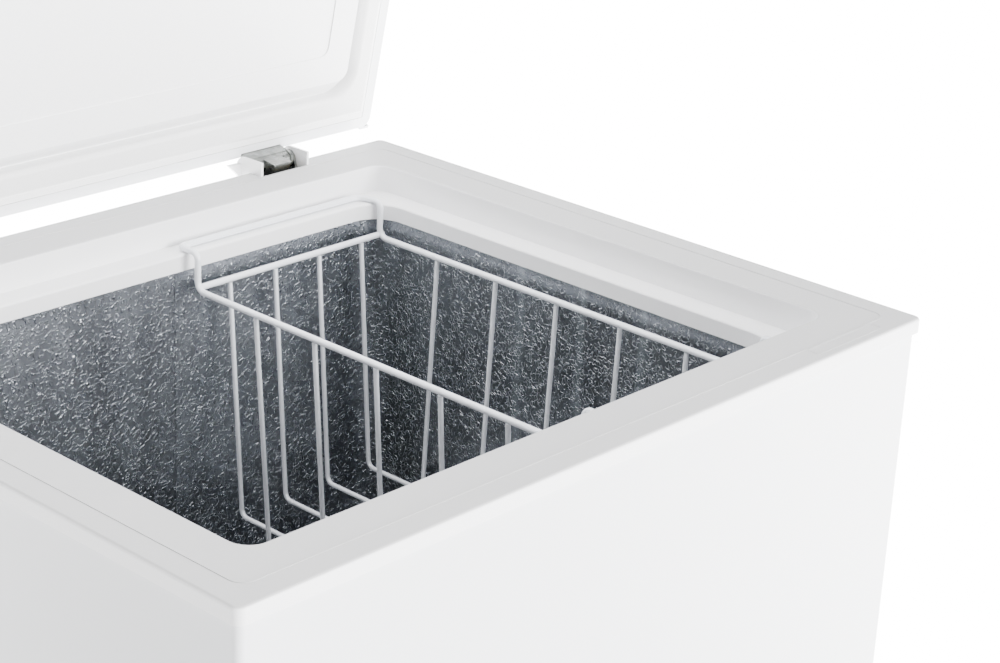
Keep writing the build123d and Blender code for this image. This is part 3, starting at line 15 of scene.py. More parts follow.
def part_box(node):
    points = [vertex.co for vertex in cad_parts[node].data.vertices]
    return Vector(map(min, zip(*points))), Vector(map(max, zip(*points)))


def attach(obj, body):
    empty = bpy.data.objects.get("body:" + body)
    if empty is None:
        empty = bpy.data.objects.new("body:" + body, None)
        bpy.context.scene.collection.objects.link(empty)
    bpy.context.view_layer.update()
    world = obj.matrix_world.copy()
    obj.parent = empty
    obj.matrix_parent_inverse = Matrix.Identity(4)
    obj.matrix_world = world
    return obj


bl_info = {
    "name": "Chest Freezer Finishes",
    "version": (1, 0, 0),
    "blender": (4, 5, 0),
    "location": "View3D > Sidebar > Freezer",
    "description": "Surfaces, small pieces and studio for a chest freezer",
    "category": "Object",
}

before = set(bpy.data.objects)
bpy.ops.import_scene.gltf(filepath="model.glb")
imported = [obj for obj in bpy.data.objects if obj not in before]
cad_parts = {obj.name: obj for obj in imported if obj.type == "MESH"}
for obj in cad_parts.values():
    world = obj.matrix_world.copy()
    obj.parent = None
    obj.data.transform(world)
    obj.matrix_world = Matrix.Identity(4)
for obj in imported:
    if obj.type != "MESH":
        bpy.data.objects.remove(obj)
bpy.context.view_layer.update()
FRAME_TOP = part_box("top_frame")[1].z
TANK_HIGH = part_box("tank_liner")[1]

# the rim's flat top, as depths below its highest point where its painted shade and added roughness
# start and are full
TOP_SHADE_FROM, TOP_SHADE_FULL = 0.0016, 0.0006
# a wall of the tank, as depths inside its outer face where marks start to show and show in full
WALL_FROM, WALL_FULL = 0.006, 0.003
# the tank's shade, as depths below the frame's top where it starts and is full
SHADE_FROM, SHADE_FULL = 0.12, 0.45
# painted upright highlight streaks on the tank's right wall, by their Y, and how far each spreads
HIGHLIGHT_STREAKS = (0.046, -0.016, -0.076)
HIGHLIGHT_STREAK_SPREAD = 0.007
# a painted highlight band on the back wall, by its X and spread, and the X past which the lapped
# sheet is painted brighter as a highlight
BACK_HIGHLIGHT, BACK_HIGHLIGHT_SPREAD = -0.010, 0.022
LAP_FROM, LAP_FULL = 0.036, 0.038

# the basket floor's long wires, and its cross wires on each side of the middle one
LONG_WIRES, CROSS_WIRES_A_SIDE = 4, 2

# the thermostat's dial: turns in degrees, the rest in metres
DIAL_MARKS, DIAL_FIRST, DIAL_STEP = 7, -120, 40
DIAL_RADIUS, MARK_CENTRE_PROUD = 0.0252, 0.00015
MARK_WIDE, MARK_THICK, MARK_LONG, MARK_GROWTH = 0.0009, 0.0003, 0.0012, 0.0005

FLOOR_HALF = 30
# the floor's own light: strength, the way it grows, where it starts and is full, least share
GLOW_STRENGTH = 17.0
GLOW_WAY = (0.74, 0.67)
GLOW_FROM, GLOW_FULL, GLOW_LEAST = -0.3, 0.75, 0.05
# soft lights: name, place, side and the setting that holds its power
LIGHTS = (
    ("studio_key", (1.7, -6.4, 1.6), 4.2, "key"),
    ("studio_fill", (-3.2, -0.6, 1.6), 2.0, "fill"),
    ("studio_top", (0.2, -0.2, 3.4), 1.6, "top"),
)
CAMERA_PLACE = (-1.0043, -1.0613, 1.3653)
CAMERA_RIGHT = Vector((0.68103041, -0.73090585, 0.04443223))
CAMERA_UP = Vector((0.2417351, 0.28168713, 0.92855614))
CAMERA_AHEAD = Vector((0.6912031, 0.62163414, -0.3685231))


def colour(name, description, default):
    """A colour property, red, green and blue from 0 to 1."""
    return FloatVectorProperty(
        name=name, description=description, default=default,
        subtype="COLOR", size=3, min=0, max=1,
    )


def length(name, description, default):
    """A length property in metres."""
    return FloatProperty(
        name=name, description=description, default=default, unit="LENGTH", min=0, precision=4
    )


def number(name, description, default):
    """A plain amount."""
    return FloatProperty(name=name, description=description, default=default, min=0)


# ---------------------------------------------------------------- settings
class FreezerColours(bpy.types.PropertyGroup):
    """Colours a user would change."""

    cabinet: colour("Cabinet", "Painted sheet of the cabinet and lid", (0.75, 0.76, 0.78))
    rim: colour("Rim", "Moulded top frame", (0.86, 0.86, 0.87))
    liner: colour("Lid Liner", "Formed inner face of the lid", (0.92, 0.92, 0.93))
    seal: colour("Seal", "Lid gasket", (0.80, 0.80, 0.80))
    tank: colour("Tank", "Embossed aluminium of the tank", (0.225, 0.24, 0.262))
    wire: colour("Wire", "Coated basket wire", (0.80, 0.82, 0.86))
    zinc: colour("Zinc", "Plated hinge steel", (0.27, 0.28, 0.27))
    lamp: colour("Lamp", "Indicator lenses", (0.10, 0.42, 0.16))


class FreezerSizes(bpy.types.PropertyGroup):
    """Sizes a user would change."""

    emboss: length("Emboss", "Length of one mark in the tank's embossing", 0.0030)
    peel: length("Peel", "Size of the ripple in the cabinet's paint", 0.0022)
    weld: length("Weld", "Radius of a weld bead on the basket", 0.0024)
    long_wire_first: length("First Long Wire", "Where the leftmost long wire runs", 0.0795)
    long_wire_pitch: length("Long Wire Pitch", "Gap from one long wire to the next", 0.046)
    cross_wire_pitch: length("Cross Wire Pitch", "Gap from one cross wire to the next", 0.063)


class FreezerStudio(bpy.types.PropertyGroup):
    """Light and camera."""

    key: number("Key", "Power of the large front light in watts", 2150)
    fill: number("Fill", "Power of the left light in watts", 10)
    top: number("Top", "Power of the overhead light in watts", 105)
    room: number("Room", "Strength of the light from all round", 0.85)
    lens: number("Lens", "Focal length of the camera in millimetres", 83.28)


# ---------------------------------------------------------------- shader helpers
def add_node(tree, kind, values=None, **settings):
    """A new node with these settings and these values on its inputs."""
    made = tree.nodes.new(kind)
    for name, value in settings.items():
        setattr(made, name, value)
    for socket, value in (values or {}).items():
        made.inputs[socket].default_value = value
    return made


def feed(tree, value, socket):
    """Links a value that is itself a socket, and sets a number or a colour."""
    if isinstance(value, bpy.types.NodeSocket):
        tree.links.new(value, socket)
    elif isinstance(value, (tuple, list)):
        socket.default_value = (*value, 1.0)
    else:
        socket.default_value = value


def math_node(tree, operation, first, second=None, third=None, clamp=False):
    """A math node; each input is a number or a socket."""
    made = add_node(tree, "ShaderNodeMath", operation=operation, use_clamp=clamp)
    for index, value in enumerate((first, second, third)):
        if value is not None:
            feed(tree, value, made.inputs[index])
    return made.outputs[0]


def remap(tree, value, low, high, to_low=0.0, to_high=1.0):
    """value, stretched from low and high to the new ends with a soft start and finish."""
    made = add_node(
        tree,
        "ShaderNodeMapRange",
        {"From Min": low, "From Max": high, "To Min": to_low, "To Max": to_high},
        interpolation_type="SMOOTHSTEP",
    )
    tree.links.new(value, made.inputs["Value"])
    return made.outputs["Result"]


def mix_colour(tree, factor, first, second):
    """A colour mix; each of factor, first and second is a value or a socket."""
    made = add_node(tree, "ShaderNodeMix", data_type="RGBA", blend_type="MIX")
    # a Mix node has a set of sockets for each data type; these are the factor, A, B and result
    for index, value in ((0, factor), (6, first), (7, second)):
        feed(tree, value, made.inputs[index])
    return made.outputs[2]


def new_group(name, inputs, outputs):
    """An empty node group with its sockets, and its two end nodes."""
    tree = bpy.data.node_groups.new(name, "ShaderNodeTree")
    for label, kind, default in inputs:
        socket = tree.interface.new_socket(label, in_out="INPUT", socket_type=kind)
        if default is not None:
            socket.default_value = default
    for label, kind in outputs:
        tree.interface.new_socket(label, in_out="OUTPUT", socket_type=kind)
    return tree, tree.nodes.new("NodeGroupInput"), tree.nodes.new("NodeGroupOutput")


def scaled_colour(tree, tone, gain):
    """A colour times a gain; both are sockets."""
    made = add_node(tree, "ShaderNodeVectorMath", operation="SCALE")
    tree.links.new(tone, made.inputs[0])
    tree.links.new(gain, made.inputs["Scale"])
    return made.outputs[0]


def noise(tree, vector, scale, detail=2.0, roughness=0.5, distortion=0.0):
    """Noise values at vector; scale is per metre, as a number or a socket."""
    made = add_node(
        tree,
        "ShaderNodeTexNoise",
        {"Detail": detail, "Roughness": roughness, "Distortion": distortion},
    )
    tree.links.new(vector, made.inputs["Vector"])
    feed(tree, scale, made.inputs["Scale"])
    return made.outputs["Fac"]


def tinted(tone, gain):
    """A colour brighter or darker by a gain, kept within 1."""
    return tuple(min(channel * gain, 1) for channel in tone)


FLOAT, VECTOR, COLOUR = "NodeSocketFloat", "NodeSocketVector", "NodeSocketColor"


# ---------------------------------------------------------------- shared effects
def build_mottle():
    """Broad, faint changes of tone and gloss, as handling and moulding leave on a large face."""
    tree, start, end = new_group(
        "Mottle",
        [("Vector", VECTOR, None), ("Color", COLOUR, (0.8, 0.8, 0.8, 1)),
         ("Amount", FLOAT, 0.04), ("Scale", FLOAT, 6.0), ("Roughness", FLOAT, 0.4)],
        [("Color", COLOUR), ("Roughness", FLOAT)],
    )
    vector = start.outputs["Vector"]
    broad = noise(tree, vector, start.outputs["Scale"], detail=4.0, roughness=0.6)
    fine_scale = math_node(tree, "MULTIPLY", start.outputs["Scale"], 14.0)
    fine = noise(tree, vector, fine_scale, detail=3.0)
    blend = math_node(tree, "MULTIPLY_ADD", broad, 0.7, math_node(tree, "MULTIPLY", fine, 0.3))
    centred = math_node(tree, "SUBTRACT", blend, 0.5)
    swing = math_node(tree, "MULTIPLY", centred, start.outputs["Amount"])
    gain = math_node(tree, "ADD", 1.0, math_node(tree, "MULTIPLY", swing, 2.0))
    tree.links.new(scaled_colour(tree, start.outputs["Color"], gain), end.inputs["Color"])
    rough = math_node(tree, "MULTIPLY_ADD", swing, 3.0, start.outputs["Roughness"], clamp=True)
    tree.links.new(rough, end.inputs["Roughness"])
    return tree


def build_ripple():
    """The orange-peel ripple of sprayed paint, with a few dust nibs."""
    tree, start, end = new_group(
        "Paint Ripple",
        [("Vector", VECTOR, None), ("Size", FLOAT, 0.002), ("Nibs", FLOAT, 0.4)],
        [("Height", FLOAT)],
    )
    rate = math_node(tree, "DIVIDE", 1.0, start.outputs["Size"])
    peel = noise(tree, start.outputs["Vector"], rate, roughness=0.45)
    nib_rate = math_node(tree, "MULTIPLY", rate, 0.35)
    specks = noise(tree, start.outputs["Vector"], nib_rate, detail=1.0, roughness=0.4)
    nibs = remap(tree, specks, 0.74, 0.82)
    height = math_node(tree, "MULTIPLY_ADD", nibs, start.outputs["Nibs"], peel)
    tree.links.new(height, end.inputs["Height"])
    return tree


def build_grain():
    """The even spark-eroded grain of a moulded surface."""
    tree, start, end = new_group(
        "Mould Grain",
        [("Vector", VECTOR, None), ("Size", FLOAT, 0.0008)],
        [("Height", FLOAT), ("Mask", FLOAT)],
    )
    rate = math_node(tree, "DIVIDE", 1.0, start.outputs["Size"])
    pits = noise(tree, start.outputs["Vector"], rate, detail=3.0, roughness=0.65)
    wide_rate = math_node(tree, "MULTIPLY", rate, 0.12)
    wide = noise(tree, start.outputs["Vector"], wide_rate)
    height = math_node(tree, "MULTIPLY_ADD", wide, 0.5, pits)
    tree.links.new(height, end.inputs["Height"])
    tree.links.new(remap(tree, pits, 0.56, 0.72), end.inputs["Mask"])
    return tree


def build_emboss():
    """Rolled stucco embossing: short raised worms over the sheet, and broad soft dents."""
    tree, start, end = new_group(
        "Stucco Emboss",
        [("Vector", VECTOR, None), ("Size", FLOAT, 0.0042), ("Dents", FLOAT, 0.6)],
        [("Height", FLOAT), ("Crest", FLOAT)],
    )
    rate = math_node(tree, "DIVIDE", 1.0, start.outputs["Size"])
    vector = start.outputs["Vector"]
    field = noise(tree, vector, rate, detail=0.0, distortion=0.35)
    away = math_node(tree, "ABSOLUTE", math_node(tree, "SUBTRACT", field, 0.5))
    worm = remap(tree, away, 0.01, 0.085, 1.0, 0.0)
    # a second field breaks the worms into dashes
    breaks = noise(tree, vector, math_node(tree, "MULTIPLY", rate, 0.8), detail=0.0)
    dashes = math_node(tree, "MULTIPLY", worm, remap(tree, breaks, 0.36, 0.46, 0.15, 1.0))
    dents = noise(tree, vector, 9.0, detail=1.0)
    height = math_node(tree, "MULTIPLY_ADD", dents, start.outputs["Dents"], dashes)
    tree.links.new(height, end.inputs["Height"])
    tree.links.new(dashes, end.inputs["Crest"])
    return tree


def build_spangle():
    """The crystal patches of a galvanised or plated surface, with fine rolling lines."""
    tree, start, end = new_group(
        "Zinc Spangle",
        [("Vector", VECTOR, None), ("Color", COLOUR, (0.6, 0.6, 0.6, 1)),
         ("Size", FLOAT, 0.006), ("Roughness", FLOAT, 0.35)],
        [("Color", COLOUR), ("Roughness", FLOAT), ("Height", FLOAT)],
    )
    rate = math_node(tree, "DIVIDE", 1.0, start.outputs["Size"])
    cells = add_node(tree, "ShaderNodeTexVoronoi", feature="F1")
    tree.links.new(start.outputs["Vector"], cells.inputs["Vector"])
    tree.links.new(rate, cells.inputs["Scale"])
    tone = add_node(tree, "ShaderNodeSeparateColor")
    tree.links.new(cells.outputs["Color"], tone.inputs[0])
    gain = remap(tree, tone.outputs[0], 0.0, 1.0, 0.84, 1.12)
    tree.links.new(scaled_colour(tree, start.outputs["Color"], gain), end.inputs["Color"])
    lines = noise(tree, start.outputs["Vector"], 900.0, roughness=0.6)
    rough = math_node(tree, "MULTIPLY_ADD", tone.outputs[1], 0.16, start.outputs["Roughness"])
    tree.links.new(rough, end.inputs["Roughness"])
    tree.links.new(lines, end.inputs["Height"])
    return tree


SHARED = {}


def shared(name):
    """The node group of that name, built the first time it is asked for."""
    builders = {"mottle": build_mottle, "ripple": build_ripple, "grain": build_grain,
                "emboss": build_emboss, "spangle": build_spangle}
    if name not in SHARED:
        SHARED[name] = builders[name]()
    return SHARED[name]


def place_group(tree, name, vector, **values):
    """A shared effect placed in a material, fed with object coordinates."""
    made = tree.nodes.new("ShaderNodeGroup")
    made.node_tree = shared(name)
    tree.links.new(vector, made.inputs["Vector"])
    for label, value in values.items():
        feed(tree, value, made.inputs[label.title()])
    return made


def new_material(name, metallic=0.0, coat=0.0, coat_roughness=0.1, ior=1.46, specular=0.5):
    """A material with one Principled shader: (material, tree, shader, object coordinates)."""
    material = bpy.data.materials.new(name)
    material.use_nodes = True
    tree = material.node_tree
    shader = tree.nodes["Principled BSDF"]
    shader.inputs["Metallic"].default_value = metallic
    shader.inputs["Coat Weight"].default_value = coat
    shader.inputs["Coat Roughness"].default_value = coat_roughness
    shader.inputs["IOR"].default_value = ior
    shader.inputs["Specular IOR Level"].default_value = specular
    place = tree.nodes.new("ShaderNodeTexCoord")
    return material, tree, shader, place.outputs["Object"]


def link_finish(tree, source, shader):
    """An effect's colour and roughness, fed to the shader."""
    tree.links.new(source.outputs["Color"], shader.inputs["Base Color"])
    tree.links.new(source.outputs["Roughness"], shader.inputs["Roughness"])


def bump(tree, shader, height, strength, distance):
    """A height fed to the shader's normal."""
    made = add_node(tree, "ShaderNodeBump", {"Strength": strength, "Distance": distance})
    tree.links.new(height, made.inputs["Height"])
    tree.links.new(made.outputs["Normal"], shader.inputs["Normal"])


# ---------------------------------------------------------------- finishes
def painted_sheet(name, tone, size, roughness=0.24):
    """Sprayed white enamel on steel sheet."""
    material, tree, shader, vector = new_material(name, coat=0.35, coat_roughness=0.12)
    body = place_group(
        tree, "mottle", vector, color=tone, amount=0.025, scale=3.5, roughness=roughness
    )
    link_finish(tree, body, shader)
    peel = place_group(tree, "ripple", vector, size=size, nibs=0.3)
    bump(tree, shader, peel.outputs["Height"], 0.10, 0.0004)
    return material


def moulded(name, tone, roughness=0.42, grain=0.0009, depth=0.12, amount=0.03, coat=0.0):
    """Grained thermoplastic."""
    material, tree, shader, vector = new_material(name, coat=coat, coat_roughness=0.2)
    body = place_group(
        tree, "mottle", vector, color=tone, amount=amount, scale=5.0, roughness=roughness
    )
    surface = place_group(tree, "grain", vector, size=grain)
    pitted = mix_colour(
        tree, surface.outputs["Mask"], body.outputs["Color"], tinted(tone, 0.93)
    )
    tree.links.new(pitted, shader.inputs["Base Color"])
    tree.links.new(body.outputs["Roughness"], shader.inputs["Roughness"])
    bump(tree, shader, surface.outputs["Height"], depth, 0.0003)
    return material


def rim_plastic(tone):
    """The top frame: satin plastic, with painted shade greying its flat top, which is also a little
    rougher.
    """
    material, tree, shader, vector = new_material("Rim Plastic")
    body = place_group(
        tree, "mottle", vector, color=tone, amount=0.03, scale=4.0, roughness=0.40
    )
    surface = place_group(tree, "grain", vector, size=0.0011)
    split = add_node(tree, "ShaderNodeSeparateXYZ")
    tree.links.new(vector, split.inputs[0])
    # painted shade: the flat top's colour is darkened to 0.6 of the tone, and its roughness raised
    on_top = remap(tree, split.outputs["Z"], FRAME_TOP - TOP_SHADE_FROM, FRAME_TOP - TOP_SHADE_FULL)
    shaded = mix_colour(tree, on_top, body.outputs["Color"], tinted(tone, 0.60))
    tree.links.new(shaded, shader.inputs["Base Color"])
    rough = math_node(tree, "MULTIPLY_ADD", on_top, 0.14, body.outputs["Roughness"], clamp=True)
    tree.links.new(rough, shader.inputs["Roughness"])
    bump(tree, shader, surface.outputs["Height"], 0.10, 0.0003)
    return material


def sheet_marks(tree, vector, toned, tone):
    """Painted highlights: upright streaks on the right wall, a band on the back wall and the sheet
    past the lap; shade lower down.
    """
    split = add_node(tree, "ShaderNodeSeparateXYZ")
    tree.links.new(vector, split.inputs[0])
    across, along, height = split.outputs
    light = tinted(tone, 2.1)

    def brighten(toned, share, wall):
        """The toned sheet, lightened by a share on that wall only."""
        return mix_colour(tree, math_node(tree, "MULTIPLY", share, wall), toned, light)

    right_wall = remap(tree, across, TANK_HIGH.x - WALL_FROM, TANK_HIGH.x - WALL_FULL)
    # painted highlights: upright bright streaks lighten the right wall's colour
    for place in HIGHLIGHT_STREAKS:
        away = math_node(tree, "ABSOLUTE", math_node(tree, "SUBTRACT", along, place))
        streak_highlight = remap(tree, away, 0.0, HIGHLIGHT_STREAK_SPREAD, 0.6, 0.0)
        toned = brighten(toned, streak_highlight, right_wall)
    back_wall = remap(tree, along, TANK_HIGH.y - WALL_FROM, TANK_HIGH.y - WALL_FULL)
    # painted highlight: a soft bright upright band on the back wall
    away = math_node(tree, "ABSOLUTE", math_node(tree, "SUBTRACT", across, BACK_HIGHLIGHT))
    toned = brighten(toned, remap(tree, away, 0.0, BACK_HIGHLIGHT_SPREAD, 0.30, 0.0), back_wall)
    # painted highlight: the sheet past the lap is lightened
    lapped = remap(tree, across, LAP_FROM, LAP_FULL, 0.0, 0.22)
    toned = brighten(toned, lapped, back_wall)
    deep = remap(tree, height, FRAME_TOP - SHADE_FULL, FRAME_TOP - SHADE_FROM, 0.35, 0.0)
    return mix_colour(tree, deep, toned, tinted(tone, 0.45))


def embossed_aluminium(tone, size):
    """The tank's stucco sheet: crests with painted glints on a dull ground, in soft upright painted
    highlight streaks.
    """
    material, tree, shader, vector = new_material("Embossed Aluminium", metallic=1.0)
    pattern = place_group(tree, "emboss", vector, size=size, dents=0.8)
    body = place_group(
        tree, "mottle", vector, color=tone, amount=0.12, scale=7.0, roughness=0.34
    )
    # painted highlight: soft upright streaks lighten the sheet's colour
    upright = add_node(tree, "ShaderNodeMapping", {"Scale": (9.0, 9.0, 0.7)})
    tree.links.new(vector, upright.inputs["Vector"])
    streaks = remap(tree, noise(tree, upright.outputs[0], 1.6), 0.35, 0.68)
    toned = mix_colour(tree, streaks, body.outputs["Color"], tinted(tone, 1.35))
    toned = sheet_marks(tree, vector, toned, tone)
    crest = pattern.outputs["Crest"]
    # painted glint: the embossed crests are lightened in colour
    bright = mix_colour(tree, math_node(tree, "MULTIPLY", crest, 0.55), toned, (0.62, 0.64, 0.67))
    tree.links.new(bright, shader.inputs["Base Color"])
    rough = math_node(
        tree, "MULTIPLY_ADD", crest, -0.12, body.outputs["Roughness"], clamp=True
    )
    tree.links.new(rough, shader.inputs["Roughness"])
    bump(tree, shader, pattern.outputs["Height"], 0.9, 0.0007)
    return material


def coated_wire(tone):
    """Fused white coating: thick, glossy, slightly uneven."""
    material, tree, shader, vector = new_material("Coated Wire", coat=0.6, coat_roughness=0.08)
    body = place_group(
        tree, "mottle", vector, color=tone, amount=0.05, scale=30.0, roughness=0.30
    )
    link_finish(tree, body, shader)
    lumps = place_group(tree, "ripple", vector, size=0.004, nibs=0.5)
    bump(tree, shader, lumps.outputs["Height"], 0.25, 0.0003)
    return material


def plated(name, tone, roughness=0.3, size=0.006, depth=0.12):
    """Zinc-plated or galvanised steel."""
    material, tree, shader, vector = new_material(name, metallic=1.0)
    zinc = place_group(tree, "spangle", vector, color=tone, size=size, roughness=roughness)
    link_finish(tree, zinc, shader)
    bump(tree, shader, zinc.outputs["Height"], depth, 0.0002)
    return material


def drawn_tube(name, tone, roughness=0.3, metallic=1.0):
    """Drawn tube or turned metal, with tarnish in patches."""
    material, tree, shader, vector = new_material(name, metallic=metallic)
    body = place_group(
        tree, "mottle", vector, color=tone, amount=0.2, scale=24.0, roughness=roughness
    )
    link_finish(tree, body, shader)
    scratches = noise(tree, vector, 700.0, detail=3.0, roughness=0.6)
    bump(tree, shader, scratches, 0.10, 0.0002)
    return material


def foam():
    """Blown polyurethane: pale yellow, in patches, with closed cells."""
    material, tree, shader, vector = new_material("Insulating Foam", specular=0.2)
    cells = add_node(tree, "ShaderNodeTexVoronoi", {"Scale": 900.0}, feature="F1")
    tree.links.new(vector, cells.inputs["Vector"])
    body = place_group(
        tree, "mottle", vector, color=(0.78, 0.66, 0.36), amount=0.25, scale=9.0, roughness=0.85
    )
    link_finish(tree, body, shader)
    bump(tree, shader, cells.outputs["Distance"], 0.6, 0.0006)
    return material


def lens(tone):
    """A clear coloured lamp lens with fine flutes."""
    material, tree, shader, vector = new_material(
        "Lamp Lens", coat=0.5, coat_roughness=0.05, ior=1.49
    )
    body = place_group(
        tree, "mottle", vector, color=tone, amount=0.15, scale=300.0, roughness=0.18
    )
    link_finish(tree, body, shader)
    flutes = noise(tree, vector, 1800.0, detail=0.0)
    bump(tree, shader, flutes, 0.3, 0.0002)
    return material


def dress(material, *nodes):
    """Gives these CAD nodes the finish."""
    for name in nodes:
        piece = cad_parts[name]
        piece.data.materials.clear()
        piece.data.materials.append(material)


def settings():
    """The three property groups of the scene."""
    scene = bpy.context.scene
    return scene.freezer_colours, scene.freezer_sizes, scene.freezer_studio


def add_piece(name, mesh_builder, material, body):
    """A new object from a filled bmesh, riding on a body."""
    mesh = bpy.data.meshes.new(name)
    mesh_builder.to_mesh(mesh)
    mesh_builder.free()
    piece = bpy.data.objects.new(name, mesh)
    bpy.context.scene.collection.objects.link(piece)
    mesh.materials.append(material)
    for face in mesh.polygons:
        face.use_smooth = True
    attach(piece, body)
    return piece


# ---------------------------------------------------------------- operators
class FREEZER_OT_cabinet(bpy.types.Operator):
    """Finish the cabinet's sheets, its top frame, feet and foam"""

    bl_idname = "freezer.cabinet"
    bl_label = "Cabinet"

    def execute(self, context):
        colours, sizes, _ = settings()
        sheet = painted_sheet("Cabinet Enamel", tuple(colours.cabinet), sizes.peel)
        dress(sheet, "cabinet_wrapper", "back_panel")
        dress(rim_plastic(tuple(colours.rim)), "top_frame")
        pan = plated("Galvanised Pan", (0.52, 0.53, 0.54), roughness=0.45, size=0.012)
        dress(pan, "base_pan", "bay_partition")
        dress(foam(), "body_foam", "lid_foam")
        rubber = moulded(
            "Foot Rubber", (0.045, 0.045, 0.05), roughness=0.7, grain=0.0012, depth=0.3, amount=0.2
        )
        dress(rubber, "feet", "compressor_grommets")
        return {"FINISHED"}


class FREEZER_OT_tank(bpy.types.Operator):
    """Finish the embossed tank"""

    bl_idname = "freezer.tank"
    bl_label = "Tank"

    def execute(self, context):
        colours, sizes, _ = settings()
        dress(embossed_aluminium(tuple(colours.tank), sizes.emboss), "tank_liner")
        return {"FINISHED"}


class FREEZER_OT_basket(bpy.types.Operator):
    """Finish the basket's wire and add the weld beads where wires cross"""

    bl_idname = "freezer.basket"
    bl_label = "Basket"

    def execute(self, context):
        colours, sizes, _ = settings()
        coating = coated_wire(tuple(colours.wire))
        dress(coating, "basket_rim", "basket_long_wires", "basket_cross_wires")
        low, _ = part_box("basket_long_wires")
        made = bmesh.new()
        for column in range(LONG_WIRES):
            x = sizes.long_wire_first + column * sizes.long_wire_pitch
            for row in range(-CROSS_WIRES_A_SIDE, CROSS_WIRES_A_SIDE + 1):
                place = Matrix.Translation((x, row * sizes.cross_wire_pitch, low.z))
                bmesh.ops.create_icosphere(
                    made, subdivisions=2, radius=sizes.weld, matrix=place
                )
        add_piece("basket_welds", made, coating, "basket")
        return {"FINISHED"}


class FREEZER_OT_lid(bpy.types.Operator):
    """Finish the lid's shell, formed liner, gasket and handle"""

    bl_idname = "freezer.lid"
    bl_label = "Lid"

    def execute(self, context):
        colours, sizes, _ = settings()
        dress(painted_sheet("Lid Enamel", tuple(colours.cabinet), sizes.peel), "lid_shell")
        liner = moulded(
            "Lid Liner", tuple(colours.liner),
            roughness=0.36, grain=0.0016, depth=0.06, amount=0.02, coat=0.15,
        )
        dress(liner, "lid_inner_panel")
        vinyl = moulded(
            "Gasket Vinyl", tuple(colours.seal), roughness=0.5, grain=0.0007, depth=0.10
        )
        dress(vinyl, "lid_gasket")
        grip = moulded("Handle Plastic", tuple(colours.liner), roughness=0.32, depth=0.08)
        dress(grip, "lid_handle")
        return {"FINISHED"}


class FREEZER_OT_hinges(bpy.types.Operator):
    """Finish the hinge leaves, pins, springs and white covers"""

    bl_idname = "freezer.hinges"
    bl_label = "Hinges"

    def execute(self, context):
        colours, _, _ = settings()
        zinc = plated("Hinge Zinc", tuple(colours.zinc), roughness=0.26, size=0.004)
        dress(zinc, "hinge_base_left", "hinge_base_right", "hinge_leaf_left", "hinge_leaf_right",
              "hinge_base_screws", "hinge_rivets", "hinge_reinforcements")
        steel = drawn_tube("Pin Steel", (0.62, 0.63, 0.64), roughness=0.2)
        dress(steel, "hinge_pins", "hinge_spring_left", "hinge_spring_right")
        cover = moulded(
            "Cover Plastic", (0.84, 0.84, 0.845), roughness=0.34, depth=0.08, amount=0.02
        )
        dress(cover, "hinge_cover_left", "hinge_cover_right")
        nylon = moulded("Plunger Nylon", (0.03, 0.03, 0.032), roughness=0.45, depth=0.15)
        dress(nylon, "hinge_plunger_left", "hinge_plunger_right")
        return {"FINISHED"}


class FREEZER_OT_controls(bpy.types.Operator):
    """Finish the control panel, knob, lamps, drain and side grille, and add the dial's marks"""

    bl_idname = "freezer.controls"
    bl_label = "Controls and Drain"

    def execute(self, context):
        colours, _, _ = settings()
        panel = moulded(
            "Panel Plastic", (0.56, 0.57, 0.59), roughness=0.4, grain=0.0008, depth=0.15
        )
        dress(panel, "control_panel")
        knob = moulded(
            "Knob Plastic", (0.76, 0.77, 0.78), roughness=0.28, grain=0.0007, depth=0.06, coat=0.3
        )
        dress(knob, "thermostat_knob")
        dark = moulded(
            "Bay Plastic", (0.035, 0.035, 0.04), roughness=0.5, grain=0.0008, depth=0.2
        )
        dress(dark, "thermostat", "terminal_cover", "start_relay", "cord_gland")
        dress(lens(tuple(colours.lamp)), "indicator_lamps")
        drain = moulded("Drain Plastic", (0.72, 0.73, 0.74), roughness=0.4, grain=0.0008)
        dress(drain, "drain_tube", "drain_outlet", "drain_cap", "drain_plug")
        marking = moulded(
            "Dial Ink", (0.12, 0.13, 0.15), roughness=0.5, grain=0.0007, depth=0.05
        )
        low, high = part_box("thermostat_knob")
        middle = (low + high) / 2
        panel_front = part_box("control_panel")[0].y
        made = bmesh.new()
        for step in range(DIAL_MARKS):
            turn = math.radians(DIAL_FIRST + DIAL_STEP * step)
            place = Vector((
                middle.x + DIAL_RADIUS * math.sin(turn),
                panel_front - MARK_CENTRE_PROUD,
                middle.z + DIAL_RADIUS * math.cos(turn),
            ))
            size = (MARK_WIDE, MARK_THICK, MARK_LONG + MARK_GROWTH * step, 1)
            shape = Matrix.Translation(place) @ Matrix.Rotation(turn, 4, "Y")
            shape = shape @ Matrix.Diagonal(size)
            bmesh.ops.create_cube(made, size=1, matrix=shape)
        add_piece("dial_marks", made, marking, "cabinet")
        dress(moulded("Grille Plastic", (0.80, 0.80, 0.81), roughness=0.38), "side_grille")
        return {"FINISHED"}


